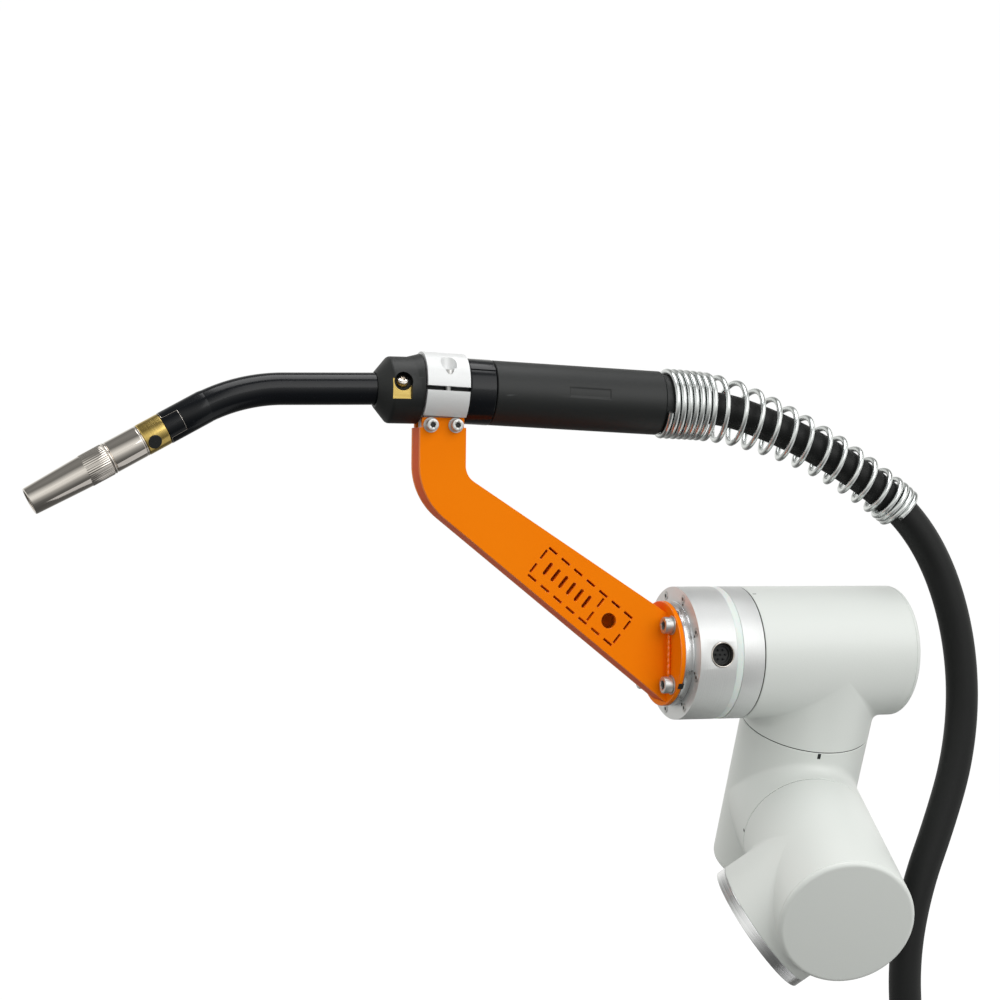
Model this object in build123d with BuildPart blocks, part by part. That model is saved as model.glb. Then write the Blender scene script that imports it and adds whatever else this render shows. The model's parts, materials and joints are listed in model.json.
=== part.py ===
"""Wrist of a jointed robot arm with an arc welding torch on its tool flange.

Three round housings, one behind the other, turn about crossing axes. The last one carries
a light ring, a tool flange and a welded box bracket, and a two-part clamp on the bracket
holds the torch: swan neck, gas nozzle, handle, kink spring and hose.
Millimetres, +Z up, X along the tool flange's axis with the torch towards -X. The origin
is the middle of the flange that the forearm bolts to.
"""

import os
from math import cos, pi, radians, sin, tan

from build123d import *

# Housings
module_radius = 40.0
seam_gap = 0.5
hub_wall = 10.0
hub_clearance = 0.05
hub_depth = 12.0
hub_end_clearance = 1.0
cap_margin = 5.4
cap_thickness = 3.1
cap_edge_radius = 2.6
joint_6_reach = 56.5
joint_5_reach = 49.4
joint_4_reach = 50.4
axis_5_to_4 = 101.5
axis_4_to_forearm = 101.5
forearm_margin = 6.0

# Directions of the joint axes
joint_5_lean = 22.9
joint_4_turn = 11.8
forearm_pitch = 45.0

# Forearm flange
flange_thickness = 6.0
forearm_bolt_inset = 8.0
forearm_bolt_count = 6
forearm_hole_radius = 2.7
forearm_hole_depth = 14.0

# Tool end of the last housing
rear_ring_length = 14.2
light_ring_length = 4.3
front_ring_length = 23.6
boss_margin = 6.5
boss_height = 5.8
socket_from_face = 14.15
socket_turn = 2.0
socket_radius = 7.6
socket_wall = 1.3
socket_depth = 10.0
socket_proud = 0.4
insert_recess = 1.4
fit_clearance = 0.05

# Flange bolts
tool_bolt_circle = 50.0
boss_radius = tool_bolt_circle / 2 + boss_margin
tool_bolt_radius = 3.0
tool_hole_clearance = 0.2
tool_bolt_depth = 10.0
tool_head_radius = 5.0
tool_head_height = 5.2
tool_washer_radius = 5.8
tool_washer_thickness = 0.8
tool_hex_radius = 2.9
tool_hex_depth = 3.0

# Welded bracket, drawn on the torch's own plane
bracket_yaw = -4.0
disc_thickness = 3.0
sheet = 3.0
bracket_width = 20.0
post_outer = -152.6
post_margin = 6.4
tab_height = 5.8
tab_inset = 1.3
lower_start = -28.3
lower_angle = 38.3
lower_corner_radius = 40.0
upper_start = 25.1
upper_angle = 32.6
upper_corner_radius = 11.0
cut_overrun = 12.0

# Dashed frame cut in the near plate
slot_frame_centre = (-53.7, 34.5)
slot_frame_length = 67.0
slot_frame_height = 20.4
slot_frame_angle = -38.8
dash_length = 6.4
dash_width = 1.4
dash_gap = 3.7
divider_from_end = 21.4
bar_count = 6
bar_length = 8.6
bar_width = 2.2
bar_pitch = 6.2
port_radius = 4.6

# Torch handle and clamp, along the handle's axis from the clamp's middle
clamp_centre = (-137.8, 155.3)
handle_slope = -2.2
clamp_start = -13.2
clamp_length = 25.4
clamp_wall = 7.8
clamp_split = 2.6
clamp_floor = 2.2
tab_gap = 0.5
tang_below_bolts = 7.4
tang_clearance = 0.15
core_radius = 13.8
core_clearance = 0.05
core_front = -34.0
core_back = 40.0
clamp_screw_inset = 3.2
clamp_screw_radius = 1.5
clamp_screw_head_radius = 2.6
clamp_screw_head_height = 3.0
clamp_pocket_radius = 3.0
clamp_pocket_floor = 8.0
clamp_recess_radius = 4.75
clamp_recess_shift = 1.5
clamp_recess_floor = 11.9
clamp_screw_depth = 9.0
tang_bolt_spacing = 15.0
tang_bolt_drop = 4.4
tang_bolt_radius = 2.0
tang_bolt_clearance = 0.15
tang_head_radius = 3.5
tang_head_height = 4.0
tang_washer_radius = 4.5
tang_washer_thickness = 1.6
tang_nut_height = 3.2

# Torch bodies
front_shell_start = -40.0
front_shell_gap = 1.0
front_shell_drop = 0.7
front_shell_wall = 5.7
front_shell_nose = 1.2
front_shell_nose_round = 0.8
front_shell_cone = 7.6
front_shell_corner = 3.0
front_shell_clearance = 0.3
front_shell_flare = 0.7
front_shell_flare_dip = 2.0
front_shell_flare_length = 9.0
collar_start = 13.2
collar_end = 29.0
collar_wall = 5.5
collar_chamfer = 0.6
barrel_wall = 5.3
barrel_end = 134.8
barrel_groove = 0.5
barrel_chamfer = 1.0
spigot_wall = 3.5
spigot_length = 14.2
window_centre = (-26.8, 4.5)
window_radius = 5.4
block_shift = (-0.7, -4.2)
block_size = (11.2, 12.0)
block_seat_depth = 4.2
block_thickness = 3.4
neck_screw_radius = 3.6
neck_screw_height = 2.5
neck_screw_hex = 1.7

# Swan neck and nozzle: the neck's start and corner from the clamp's middle, then the
# lengths of the pieces that follow the bend
neck_radius = 9.4
neck_start = (-22.2, 0.16)
neck_corner = (-120.05, -1.96)
neck_bend_radius = 105.0
neck_straight = 1.0
nozzle_slope = 29.26
insulator_length = 21.0
insulator_step = 0.2
neck_ring_length = 13.9
adapter_length = 22.0
adapter_step = 0.1
adapter_groove = 1.4
knurl_length = 14.8
knurl_height = 0.25
nozzle_length = 50.1
nozzle_shoulder_step = 0.05
nozzle_tip_radius = 8.1
nozzle_tip_wall = 1.7
nozzle_seat_depth = 6.0
nozzle_chamfer = 0.5
knurl_chamfer = 0.3
plug_radius = 4.0
plug_place = 9.1
plug_depth = 2.0
plug_proud = 0.2
plug_turn = -24.0
diffuser_radius = 5.0
diffuser_length = 17.0
tip_radius = 3.0
tip_recess = 4.6

# Kink spring and hose
wire = 3.5
spring_gap = 0.4
spring_fit = 0.3
spring_stations = (
    (18.0, 7.0),
    (36.0, 6.3),
    (54.0, 4.8),
    (72.0, 3.3),
    (90.0, 2.4),
    (108.0, 1.9),
    (128.0, 1.5),
    (139.0, 1.2),
    (150.0, 1.1),
    (162.0, 1.1),
)
hose_radius = 10.0
hose_straight_out = 25.0
hose_route = (
    (66.0, 139.6),
    (101.0, 124.8),
    (133.5, 106.0),
    (162.5, 84.0),
    (183.0, 54.0),
    (196.5, 15.0),
    (201.5, -27.0),
    (197.5, -69.0),
    (185.5, -108.0),
    (171.5, -145.0),
    (163.5, -184.0),
    (163.5, -222.0),
    (168.0, -258.0),
)
arc_share = 0.45
connector_nut_radius = 17.5
connector_nut_length = 26.0
connector_radius = 15.0
connector_length = 24.0
connector_pin_radius = 4.0
connector_pin_length = 9.0

# Sizes that follow from the ones above
hub_radius = module_radius - hub_wall
cap_reach = module_radius + cap_margin
forearm_reach = module_radius + forearm_margin
forearm_bolt_circle = 2 * (module_radius - forearm_bolt_inset)
post_inner = post_outer + tang_bolt_spacing + 2 * post_margin
clamp_radius = core_radius + clamp_wall
clamp_flat = core_radius + clamp_floor
clamp_screw_offset = core_radius + clamp_screw_inset
tab_top = clamp_centre[1] - clamp_flat - tab_gap
post_top = tab_top - tab_height
tang_bolt_height = tab_top - tang_bolt_drop
tang_bottom = tang_bolt_height - tang_below_bolts
clamp_recess_offset = clamp_screw_offset - clamp_recess_shift
front_shell_end = clamp_start - front_shell_gap
front_shell_radius = core_radius + front_shell_wall
front_shell_nose_radius = neck_radius + front_shell_nose
front_shell_flare_start = front_shell_end - front_shell_flare_length
block_centre = (window_centre[0] + block_shift[0], window_centre[1] + block_shift[1])
collar_radius = core_radius + collar_wall
barrel_radius = core_radius + barrel_wall
spigot_radius = core_radius + spigot_wall
insulator_radius = neck_radius + insulator_step
adapter_radius = neck_radius - adapter_step
nozzle_shoulder_radius = neck_radius - nozzle_shoulder_step
knurl_radius = nozzle_shoulder_radius + knurl_height
nozzle_bore_radius = nozzle_tip_radius - nozzle_tip_wall

# Directions and planes
level = Vector(1, 0, 0)
axis_5_up = Vector(0, -sin(radians(joint_5_lean)), cos(radians(joint_5_lean)))
axis_5_away = axis_5_up.cross(level)
axis_4_out = axis_5_away * -cos(radians(joint_4_turn)) + level * -sin(radians(joint_4_turn))
axis_4_level = level * cos(radians(joint_4_turn)) - axis_5_away * sin(radians(joint_4_turn))
forearm_out = axis_4_level * -cos(radians(forearm_pitch)) - axis_5_up * sin(radians(forearm_pitch))

flange_face = forearm_reach + flange_thickness
wrist_centre = axis_5_up * axis_5_to_4 - axis_4_out * axis_4_to_forearm - forearm_out * flange_face
joint_4_centre = wrist_centre - axis_5_up * axis_5_to_4
forearm_centre = joint_4_centre + axis_4_out * axis_4_to_forearm

axis_6 = Plane(origin=wrist_centre, x_dir=(0, -1, 0), z_dir=-level)
axis_5 = Plane(origin=wrist_centre, x_dir=level, z_dir=-axis_5_up)
axis_4 = Plane(origin=joint_4_centre, x_dir=axis_4_level, z_dir=axis_4_out)
forearm_axis = Plane(origin=forearm_centre, x_dir=axis_4_out, z_dir=forearm_out)

rear_ring_start = joint_6_reach + seam_gap
light_ring_start = rear_ring_start + rear_ring_length
front_ring_start = light_ring_start + light_ring_length
ring_face = front_ring_start + front_ring_length
boss_face = ring_face + boss_height
disc_face = boss_face + disc_thickness

torch_run = Vector(cos(radians(bracket_yaw)), sin(radians(bracket_yaw)), 0)
to_viewer = torch_run.cross(Vector(0, 0, 1))
torch_plane = Plane(origin=axis_6.offset(disc_face).origin, x_dir=torch_run, z_dir=to_viewer)


def torch_point(run, rise):
    """Point of the torch's plane, run along the plane and rise above the flange axis."""
    return torch_plane.from_local_coords(Vector(run, rise, 0))


handle_dir = torch_run * cos(radians(handle_slope)) + Vector(0, 0, 1) * sin(radians(handle_slope))
handle_axis = Plane(origin=torch_point(*clamp_centre), x_dir=-to_viewer, z_dir=handle_dir)
handle_plane = Plane(origin=torch_point(*clamp_centre), x_dir=handle_dir, z_dir=to_viewer)
shell_plane = Plane(origin=handle_plane.origin - Vector(0, 0, front_shell_drop), x_dir=torch_run, z_dir=to_viewer)
nozzle_dir = torch_run * -cos(radians(nozzle_slope)) - Vector(0, 0, 1) * sin(radians(nozzle_slope))
neck_points = [
    torch_point(clamp_centre[0] + run, clamp_centre[1] + rise) for run, rise in (neck_start, neck_corner)
]
nozzle_axis = Plane(origin=neck_points[1], x_dir=to_viewer, z_dir=nozzle_dir)
neck_turn = (neck_points[1] - neck_points[0]).get_angle(nozzle_dir)

# Places along the nozzle's axis, from the bend's corner
insulator_start = neck_bend_radius * tan(radians(neck_turn / 2)) + neck_straight
neck_ring_start = insulator_start + insulator_length
adapter_start = neck_ring_start + neck_ring_length
nozzle_start = adapter_start + adapter_length
nozzle_tip = nozzle_start + nozzle_length

pieces = []


def keep(piece, name):
    """Label a finished piece and put it on the list of pieces to write."""
    piece.part.label = name
    pieces.append(piece.part)


def tee_housing(main, start, end, branch, branch_reach, seam):
    """Housing of one joint: a round body, a round branch at right angles and a hub pocket."""
    with BuildPart() as housing:
        with BuildSketch(main.offset(start)):
            Circle(module_radius)
        extrude(amount=end - start)
        with BuildSketch(branch):
            Circle(module_radius)
        extrude(amount=branch_reach)
        with BuildSketch(main.offset(seam)):
            Circle(hub_radius + hub_clearance)
        extrude(amount=hub_depth if seam == start else -hub_depth, mode=Mode.SUBTRACT)
    return housing


def end_cap(main, place):
    """Round lid on a housing's closed end, with a rounded rim."""
    with BuildPart() as cap:
        with BuildSketch(main.offset(place)):
            Circle(module_radius)
        extrude(amount=cap_thickness)
        fillet(cap.edges().sort_by(Axis(main.origin, main.z_dir))[-1], radius=cap_edge_radius)
    return cap


def hub(main, seam_face):
    """Turning hub that stands across a seam and fills the next housing's pocket."""
    with BuildPart() as spindle:
        with BuildSketch(main.offset(seam_face)):
            Circle(hub_radius)
        extrude(amount=seam_gap + hub_depth - hub_end_clearance)
    return spindle


def disc(plane, radius, length):
    """Plain round body that stands on a plane."""
    with BuildPart() as body:
        with BuildSketch(plane):
            Circle(radius)
        extrude(amount=length)
    return body


# Last housing, with the tool flange's axis
keep(tee_housing(axis_6, -cap_reach, joint_6_reach, axis_5, joint_5_reach, joint_6_reach), "wrist_3_housing")
keep(end_cap(Plane(origin=wrist_centre, x_dir=(0, 1, 0), z_dir=level), cap_reach), "wrist_3_end_cap")
keep(hub(axis_5, joint_5_reach), "joint_5_hub")

# Middle housing
wrist_2_start = joint_5_reach + seam_gap
wrist_2_end = axis_5_to_4 + cap_reach
keep(tee_housing(axis_5, wrist_2_start, wrist_2_end, axis_4, joint_4_reach, wrist_2_start), "wrist_2_housing")
keep(end_cap(axis_5, wrist_2_end), "wrist_2_end_cap")
keep(hub(axis_4, joint_4_reach), "joint_4_hub")

# First housing, on the forearm
wrist_1_start = joint_4_reach + seam_gap
wrist_1_end = axis_4_to_forearm + cap_reach
with BuildPart() as wrist_1_housing:
    add(tee_housing(axis_4, wrist_1_start, wrist_1_end, forearm_axis, forearm_reach, wrist_1_start).part)
    with BuildSketch(forearm_axis.offset(forearm_reach)):
        with PolarLocations(forearm_bolt_circle / 2, forearm_bolt_count):
            Circle(forearm_hole_radius)
    extrude(amount=flange_thickness - forearm_hole_depth, mode=Mode.SUBTRACT)
keep(wrist_1_housing, "wrist_1_housing")
keep(end_cap(axis_4, wrist_1_end), "wrist_1_end_cap")

# Forearm flange, a disc with a bolt circle
with BuildPart() as forearm_flange:
    with BuildSketch(forearm_axis.offset(forearm_reach)):
        Circle(module_radius)
        with PolarLocations(forearm_bolt_circle / 2, forearm_bolt_count):
            Circle(forearm_hole_radius, mode=Mode.SUBTRACT)
    extrude(amount=flange_thickness)
keep(forearm_flange, "forearm_flange")

# Turning rings of the tool end, with a round hub into the last housing
hub_back = Plane(origin=axis_6.offset(rear_ring_start).origin, x_dir=(0, 1, 0), z_dir=level)
keep(disc(hub_back, hub_radius, seam_gap + hub_depth - hub_end_clearance), "joint_6_hub")
keep(disc(axis_6.offset(rear_ring_start), module_radius, rear_ring_length), "rear_ring")
keep(disc(axis_6.offset(light_ring_start), module_radius, light_ring_length), "light_ring")

socket_out = Vector(0, -cos(radians(socket_turn)), sin(radians(socket_turn)))
socket_plane = Plane(
    origin=axis_6.offset(ring_face - socket_from_face).origin + socket_out * module_radius,
    x_dir=level,
    z_dir=socket_out,
)

with BuildPart() as front_ring:
    with BuildSketch(axis_6.offset(front_ring_start)):
        Circle(module_radius)
    extrude(amount=front_ring_length)
    with BuildSketch(socket_plane.offset(-socket_depth)):
        Circle(socket_radius + fit_clearance)
    extrude(amount=socket_depth + socket_proud, mode=Mode.SUBTRACT)
    with BuildSketch(axis_6.offset(ring_face)):
        with PolarLocations(tool_bolt_circle / 2, 4, start_angle=45):
            Circle(tool_bolt_radius + fit_clearance)
    extrude(amount=-(tool_bolt_depth - boss_height), mode=Mode.SUBTRACT)
keep(front_ring, "front_ring")

with BuildPart() as tool_flange:
    with BuildSketch(axis_6.offset(ring_face)):
        Circle(boss_radius)
        with PolarLocations(tool_bolt_circle / 2, 4, start_angle=45):
            Circle(tool_bolt_radius + fit_clearance, mode=Mode.SUBTRACT)
    extrude(amount=boss_height)
keep(tool_flange, "tool_flange")

with BuildPart() as socket_shell:
    with BuildSketch(socket_plane.offset(-socket_depth)):
        Circle(socket_radius)
        Circle(socket_radius - socket_wall, mode=Mode.SUBTRACT)
    extrude(amount=socket_depth + socket_proud)
keep(socket_shell, "socket_shell")
insert_length = socket_depth + socket_proud - insert_recess
keep(disc(socket_plane.offset(-socket_depth), socket_radius - socket_wall, insert_length), "socket_insert")

# Bracket disc and the bolts that hold it to the flange
with BuildPart() as bracket_disc:
    with BuildSketch(axis_6.offset(boss_face)):
        Circle(boss_radius)
        with PolarLocations(tool_bolt_circle / 2, 4, start_angle=45):
            Circle(tool_bolt_radius + tool_hole_clearance, mode=Mode.SUBTRACT)
    extrude(amount=disc_thickness)
keep(bracket_disc, "bracket_disc")

tool_head_face = disc_face + tool_washer_thickness + tool_head_height
with BuildPart() as flange_bolts:
    for radius, bottom, top in (
        (tool_bolt_radius, boss_face - tool_bolt_depth, disc_face),
        (tool_washer_radius, disc_face, disc_face + tool_washer_thickness),
        (tool_head_radius, disc_face + tool_washer_thickness, tool_head_face),
    ):
        with BuildSketch(axis_6.offset(bottom)):
            with PolarLocations(tool_bolt_circle / 2, 4, start_angle=45):
                Circle(radius)
        extrude(amount=top - bottom)
    with BuildSketch(axis_6.offset(tool_head_face)):
        with PolarLocations(tool_bolt_circle / 2, 4, start_angle=45):
            RegularPolygon(tool_hex_radius, 6)
    extrude(amount=-tool_hex_depth, mode=Mode.SUBTRACT)
keep(flange_bolts, "flange_bolts")

# Bracket outline: from the disc up a slope, round a corner and up the post
disc_front = axis_6.offset(disc_face)
lower_corner = (post_outer, lower_start - post_outer * tan(radians(lower_angle)))
upper_corner = (post_inner, upper_start - post_inner * tan(radians(upper_angle)))
lower_end = (cut_overrun, lower_start - cut_overrun * tan(radians(lower_angle)))
upper_end = (cut_overrun, upper_start - cut_overrun * tan(radians(upper_angle)))
post_middle = (post_outer + post_inner) / 2
tab_width = post_inner - post_outer - 2 * tab_inset


def plate(plane):
    """One side plate of the bracket, cut off square on the disc's face."""
    with BuildPart() as side:
        with BuildSketch(plane):
            with BuildLine():
                FilletPolyline((post_outer, post_top), lower_corner, lower_end, radius=lower_corner_radius)
                FilletPolyline((post_inner, post_top), upper_corner, upper_end, radius=upper_corner_radius)
                Line((post_outer, post_top), (post_inner, post_top))
                Line(lower_end, upper_end)
            make_face()
            with Locations((post_middle, (post_top + tab_top) / 2)):
                Rectangle(tab_width, tab_top - post_top)
        extrude(amount=sheet)
        split(bisect_by=disc_front, keep=Keep.TOP)
        with BuildSketch(plane):
            with Locations((post_middle, tang_bolt_height)):
                with GridLocations(tang_bolt_spacing, 0, 2, 1):
                    Circle(tang_bolt_radius + tang_bolt_clearance)
        extrude(amount=sheet, mode=Mode.SUBTRACT)
    return side


near_plane = torch_plane.offset(bracket_width / 2 - sheet)
far_plane = torch_plane.offset(-bracket_width / 2)
dash_step = dash_length + dash_gap
long_dashes = round(slot_frame_length / dash_step)
short_dashes = round(slot_frame_height / dash_step)
frame_plane = near_plane * Location(slot_frame_centre + (0,), (0, 0, slot_frame_angle))
frame_end = slot_frame_length / 2
divider = frame_end - divider_from_end

with BuildPart() as bracket_near_plate:
    add(plate(near_plane).part)
    with BuildSketch(frame_plane):
        with GridLocations(dash_step, slot_frame_height, long_dashes, 2):
            Rectangle(dash_length, dash_width)
        for place in (-frame_end, divider, frame_end):
            with Locations((place, 0)):
                with GridLocations(0, dash_step, 1, short_dashes):
                    Rectangle(dash_width, dash_length)
        with Locations(((divider - frame_end) / 2, 0)):
            with GridLocations(bar_pitch, 0, bar_count, 1):
                SlotOverall(bar_length, bar_width, rotation=90)
        with Locations(((divider + frame_end) / 2, 0)):
            Circle(port_radius)
    extrude(amount=sheet, mode=Mode.SUBTRACT)
keep(bracket_near_plate, "bracket_near_plate")
keep(plate(far_plane), "bracket_far_plate")


def strip(corner, end, start_x, radius, side):
    """Edge strip of the box, bent along one edge of the plates and set between them."""
    with BuildPart() as edge:
        with BuildSketch(torch_plane.offset(-bracket_width / 2 + sheet)):
            with BuildLine():
                FilletPolyline((start_x, post_top), corner, end, radius=radius)
                offset(amount=sheet, side=side)
            make_face()
        extrude(amount=bracket_width - 2 * sheet)
        split(bisect_by=disc_front, keep=Keep.TOP)
    return edge


keep(strip(lower_corner, lower_end, post_outer, lower_corner_radius, Side.LEFT), "bracket_outer_strip")
keep(strip(upper_corner, upper_end, post_inner, upper_corner_radius, Side.RIGHT), "bracket_inner_strip")

# Clamp: two half rings round the torch's core, the lower one with a tang between the plates
clamp_back = handle_axis.offset(clamp_start)


def half_ring(up):
    """Half of the clamp ring, above or below the split."""
    with BuildPart() as half:
        with BuildSketch(clamp_back):
            Circle(clamp_radius)
            Circle(core_radius + core_clearance, mode=Mode.SUBTRACT)
        extrude(amount=clamp_length)
        with BuildSketch(handle_plane):
            with Locations((0, up * (clamp_split / 2 - clamp_radius))):
                Rectangle(2 * clamp_length, 2 * clamp_radius)
        extrude(amount=2 * clamp_radius, both=True, mode=Mode.SUBTRACT)
    return half


screw_top = Plane(origin=handle_plane.origin, x_dir=handle_dir, z_dir=handle_plane.y_dir)
tang_width = bracket_width - 2 * (sheet + tang_clearance)
tang_length = post_inner - post_outer - 2 * (sheet + tang_clearance)
tang_height = clamp_centre[1] - core_radius - tang_bottom

with BuildPart() as clamp_upper_half:
    add(half_ring(1).part)
    for floor, apart, radius in (
        (clamp_recess_floor, 2 * clamp_recess_offset, clamp_recess_radius),
        (clamp_pocket_floor, 2 * clamp_screw_offset, clamp_pocket_radius),
    ):
        with BuildSketch(screw_top.offset(floor)):
            with GridLocations(0, apart, 1, 2):
                Circle(radius)
        extrude(amount=clamp_radius, mode=Mode.SUBTRACT)
    with BuildSketch(screw_top):
        with GridLocations(0, 2 * clamp_screw_offset, 1, 2):
            Circle(clamp_screw_radius + fit_clearance)
    extrude(amount=clamp_pocket_floor, mode=Mode.SUBTRACT)
keep(clamp_upper_half, "clamp_upper_half")

with BuildPart() as clamp_lower_half:
    add(half_ring(-1).part)
    with BuildSketch(handle_plane):
        with Locations((0, -clamp_flat)):
            Rectangle(2 * clamp_length, clamp_radius, align=(Align.CENTER, Align.MAX))
    extrude(amount=2 * clamp_radius, both=True, mode=Mode.SUBTRACT)
    with BuildSketch(torch_plane):
        with Locations((post_middle, tang_bottom)):
            Rectangle(tang_length, tang_height, align=(Align.CENTER, Align.MIN))
    extrude(amount=tang_width / 2, both=True)
    with BuildSketch(screw_top):
        with GridLocations(0, 2 * clamp_screw_offset, 1, 2):
            Circle(clamp_screw_radius + fit_clearance)
    extrude(amount=-clamp_screw_depth, mode=Mode.SUBTRACT)
    with BuildSketch(torch_plane):
        with Locations((post_middle, tang_bolt_height)):
            with GridLocations(tang_bolt_spacing, 0, 2, 1):
                Circle(tang_bolt_radius + tang_bolt_clearance)
    extrude(amount=tang_width, both=True, mode=Mode.SUBTRACT)
    with BuildSketch(clamp_back):
        Circle(core_radius + core_clearance)
    extrude(amount=clamp_length, mode=Mode.SUBTRACT)
keep(clamp_lower_half, "clamp_lower_half")

with BuildPart() as clamp_screws:
    with BuildSketch(screw_top.offset(-clamp_screw_depth)):
        with GridLocations(0, 2 * clamp_screw_offset, 1, 2):
            Circle(clamp_screw_radius)
    extrude(amount=clamp_screw_depth + clamp_pocket_floor)
    with BuildSketch(screw_top.offset(clamp_pocket_floor)):
        with GridLocations(0, 2 * clamp_screw_offset, 1, 2):
            Circle(clamp_screw_head_radius)
    extrude(amount=clamp_screw_head_height)
keep(clamp_screws, "clamp_screws")

tang_head_face = bracket_width / 2 + tang_washer_thickness + tang_head_height
with BuildPart() as tang_bolts:
    for radius, bottom, top in (
        (tang_bolt_radius, -bracket_width / 2 - tang_nut_height, bracket_width / 2),
        (tang_washer_radius, bracket_width / 2, bracket_width / 2 + tang_washer_thickness),
        (tang_head_radius, bracket_width / 2 + tang_washer_thickness, tang_head_face),
    ):
        with BuildSketch(torch_plane.offset(bottom)):
            with Locations((post_middle, tang_bolt_height)):
                with GridLocations(tang_bolt_spacing, 0, 2, 1):
                    Circle(radius)
        extrude(amount=top - bottom)
    with BuildSketch(torch_plane.offset(-bracket_width / 2)):
        with Locations((post_middle, tang_bolt_height)):
            with GridLocations(tang_bolt_spacing, 0, 2, 1):
                RegularPolygon(tang_head_radius, 6, major_radius=False)
    extrude(amount=-tang_nut_height)
keep(tang_bolts, "tang_bolts")

# Swan neck: a bent tube that ends inside the core
with BuildPart() as swan_neck:
    with BuildLine():
        neck_path = FilletPolyline(
            *neck_points,
            neck_points[1] + nozzle_dir * insulator_start,
            radius=neck_bend_radius,
        )
    with BuildSketch(Plane(origin=neck_path @ 0, z_dir=neck_path % 0)):
        Circle(neck_radius)
    sweep()
keep(swan_neck, "swan_neck")
neck_end = Plane(origin=neck_path @ 0, z_dir=neck_path % 0)

# Torch bodies round the core, turned profiles about the handle's axis
with BuildPart() as torch_core:
    with BuildSketch(handle_axis.offset(core_front)):
        Circle(core_radius)
    extrude(amount=core_back - core_front)
    with BuildSketch(neck_end):
        Circle(neck_radius + fit_clearance)
    extrude(amount=clamp_length, mode=Mode.SUBTRACT)
keep(torch_core, "torch_core")


def turned(points):
    """Body turned about the handle's axis from a profile of distance and radius."""
    with BuildPart() as body:
        with BuildSketch(handle_plane):
            with BuildLine():
                Polyline(*points, close=True)
            make_face()
        revolve(axis=Axis(handle_plane.origin, handle_dir))
    return body


core_fit = core_radius + core_clearance

# Front shell: a cone and a round body level with the neck, flared to the clamp on the handle's axis
with BuildPart() as torch_front_shell:
    with BuildSketch(shell_plane):
        with BuildLine():
            FilletPolyline(
                (front_shell_start, 0),
                (front_shell_start, front_shell_nose_radius),
                (front_shell_start + front_shell_cone, front_shell_radius),
                (0, front_shell_radius),
                radius=(front_shell_nose_round, front_shell_corner),
            )
            Polyline((0, front_shell_radius), (0, 0), (front_shell_start, 0))
        make_face()
    revolve(axis=Axis(shell_plane.origin, torch_run))
    add(
        turned(
            (
                (front_shell_flare_start, 0),
                (front_shell_flare_start, front_shell_radius - front_shell_flare_dip),
                (front_shell_end, front_shell_radius + front_shell_flare),
                (front_shell_end, 0),
            )
        ).part
    )
    split(bisect_by=handle_axis.offset(front_shell_end), keep=Keep.BOTTOM)
    with BuildSketch(handle_axis.offset(core_front)):
        Circle(core_fit)
    extrude(amount=core_back - core_front, mode=Mode.SUBTRACT)
    with BuildSketch(shell_plane.offset(core_radius - block_seat_depth)):
        with Locations(window_centre):
            Circle(window_radius)
        with Locations(block_centre):
            Rectangle(*block_size)
    extrude(amount=front_shell_radius, mode=Mode.SUBTRACT)
    with BuildSketch(neck_end):
        Circle(neck_radius + front_shell_clearance)
    extrude(amount=2 * clamp_length, mode=Mode.SUBTRACT)
keep(torch_front_shell, "torch_front_shell")

keep(
    turned(
        (
            (collar_start, core_fit),
            (collar_start, collar_radius - collar_chamfer),
            (collar_start + collar_chamfer, collar_radius),
            (collar_end, collar_radius),
            (collar_end, core_fit),
        )
    ),
    "handle_collar",
)
keep(
    turned(
        (
            (collar_end + barrel_groove, core_fit),
            (collar_end + barrel_groove, barrel_radius - barrel_groove),
            (collar_end + 2 * barrel_groove, barrel_radius),
            (barrel_end - barrel_chamfer, barrel_radius),
            (barrel_end, barrel_radius - barrel_chamfer),
            (barrel_end, spigot_radius),
            (barrel_end + spigot_length, spigot_radius),
            (barrel_end + spigot_length, 0),
            (core_back, 0),
            (core_back, core_fit),
        )
    ),
    "handle_barrel",
)

keep(disc(nozzle_axis.offset(insulator_start), insulator_radius, insulator_length), "neck_insulator")

plug_plane = Plane(
    origin=nozzle_axis.offset(neck_ring_start + plug_place).origin,
    x_dir=nozzle_dir,
    z_dir=to_viewer.rotate(Axis((0, 0, 0), nozzle_dir), plug_turn),
)
with BuildPart() as neck_ring:
    with BuildSketch(nozzle_axis.offset(neck_ring_start)):
        Circle(neck_radius)
    extrude(amount=adapter_start - neck_ring_start)
    with BuildSketch(plug_plane.offset(neck_radius - plug_depth)):
        Circle(plug_radius + fit_clearance)
    extrude(amount=2 * plug_depth, mode=Mode.SUBTRACT)
keep(neck_ring, "neck_ring")
ring_plug = disc(plug_plane.offset(neck_radius - plug_depth), plug_radius, plug_depth + plug_proud)
keep(ring_plug, "ring_plug")


def turned_nozzle(points):
    """Body turned about the nozzle's axis from a profile of distance and radius."""
    profile_plane = Plane(origin=nozzle_axis.origin, x_dir=nozzle_dir, z_dir=-to_viewer)
    with BuildPart() as body:
        with BuildSketch(profile_plane):
            with BuildLine():
                Polyline(*points, close=True)
            make_face()
        revolve(axis=Axis(profile_plane.origin, nozzle_dir))
    return body


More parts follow.
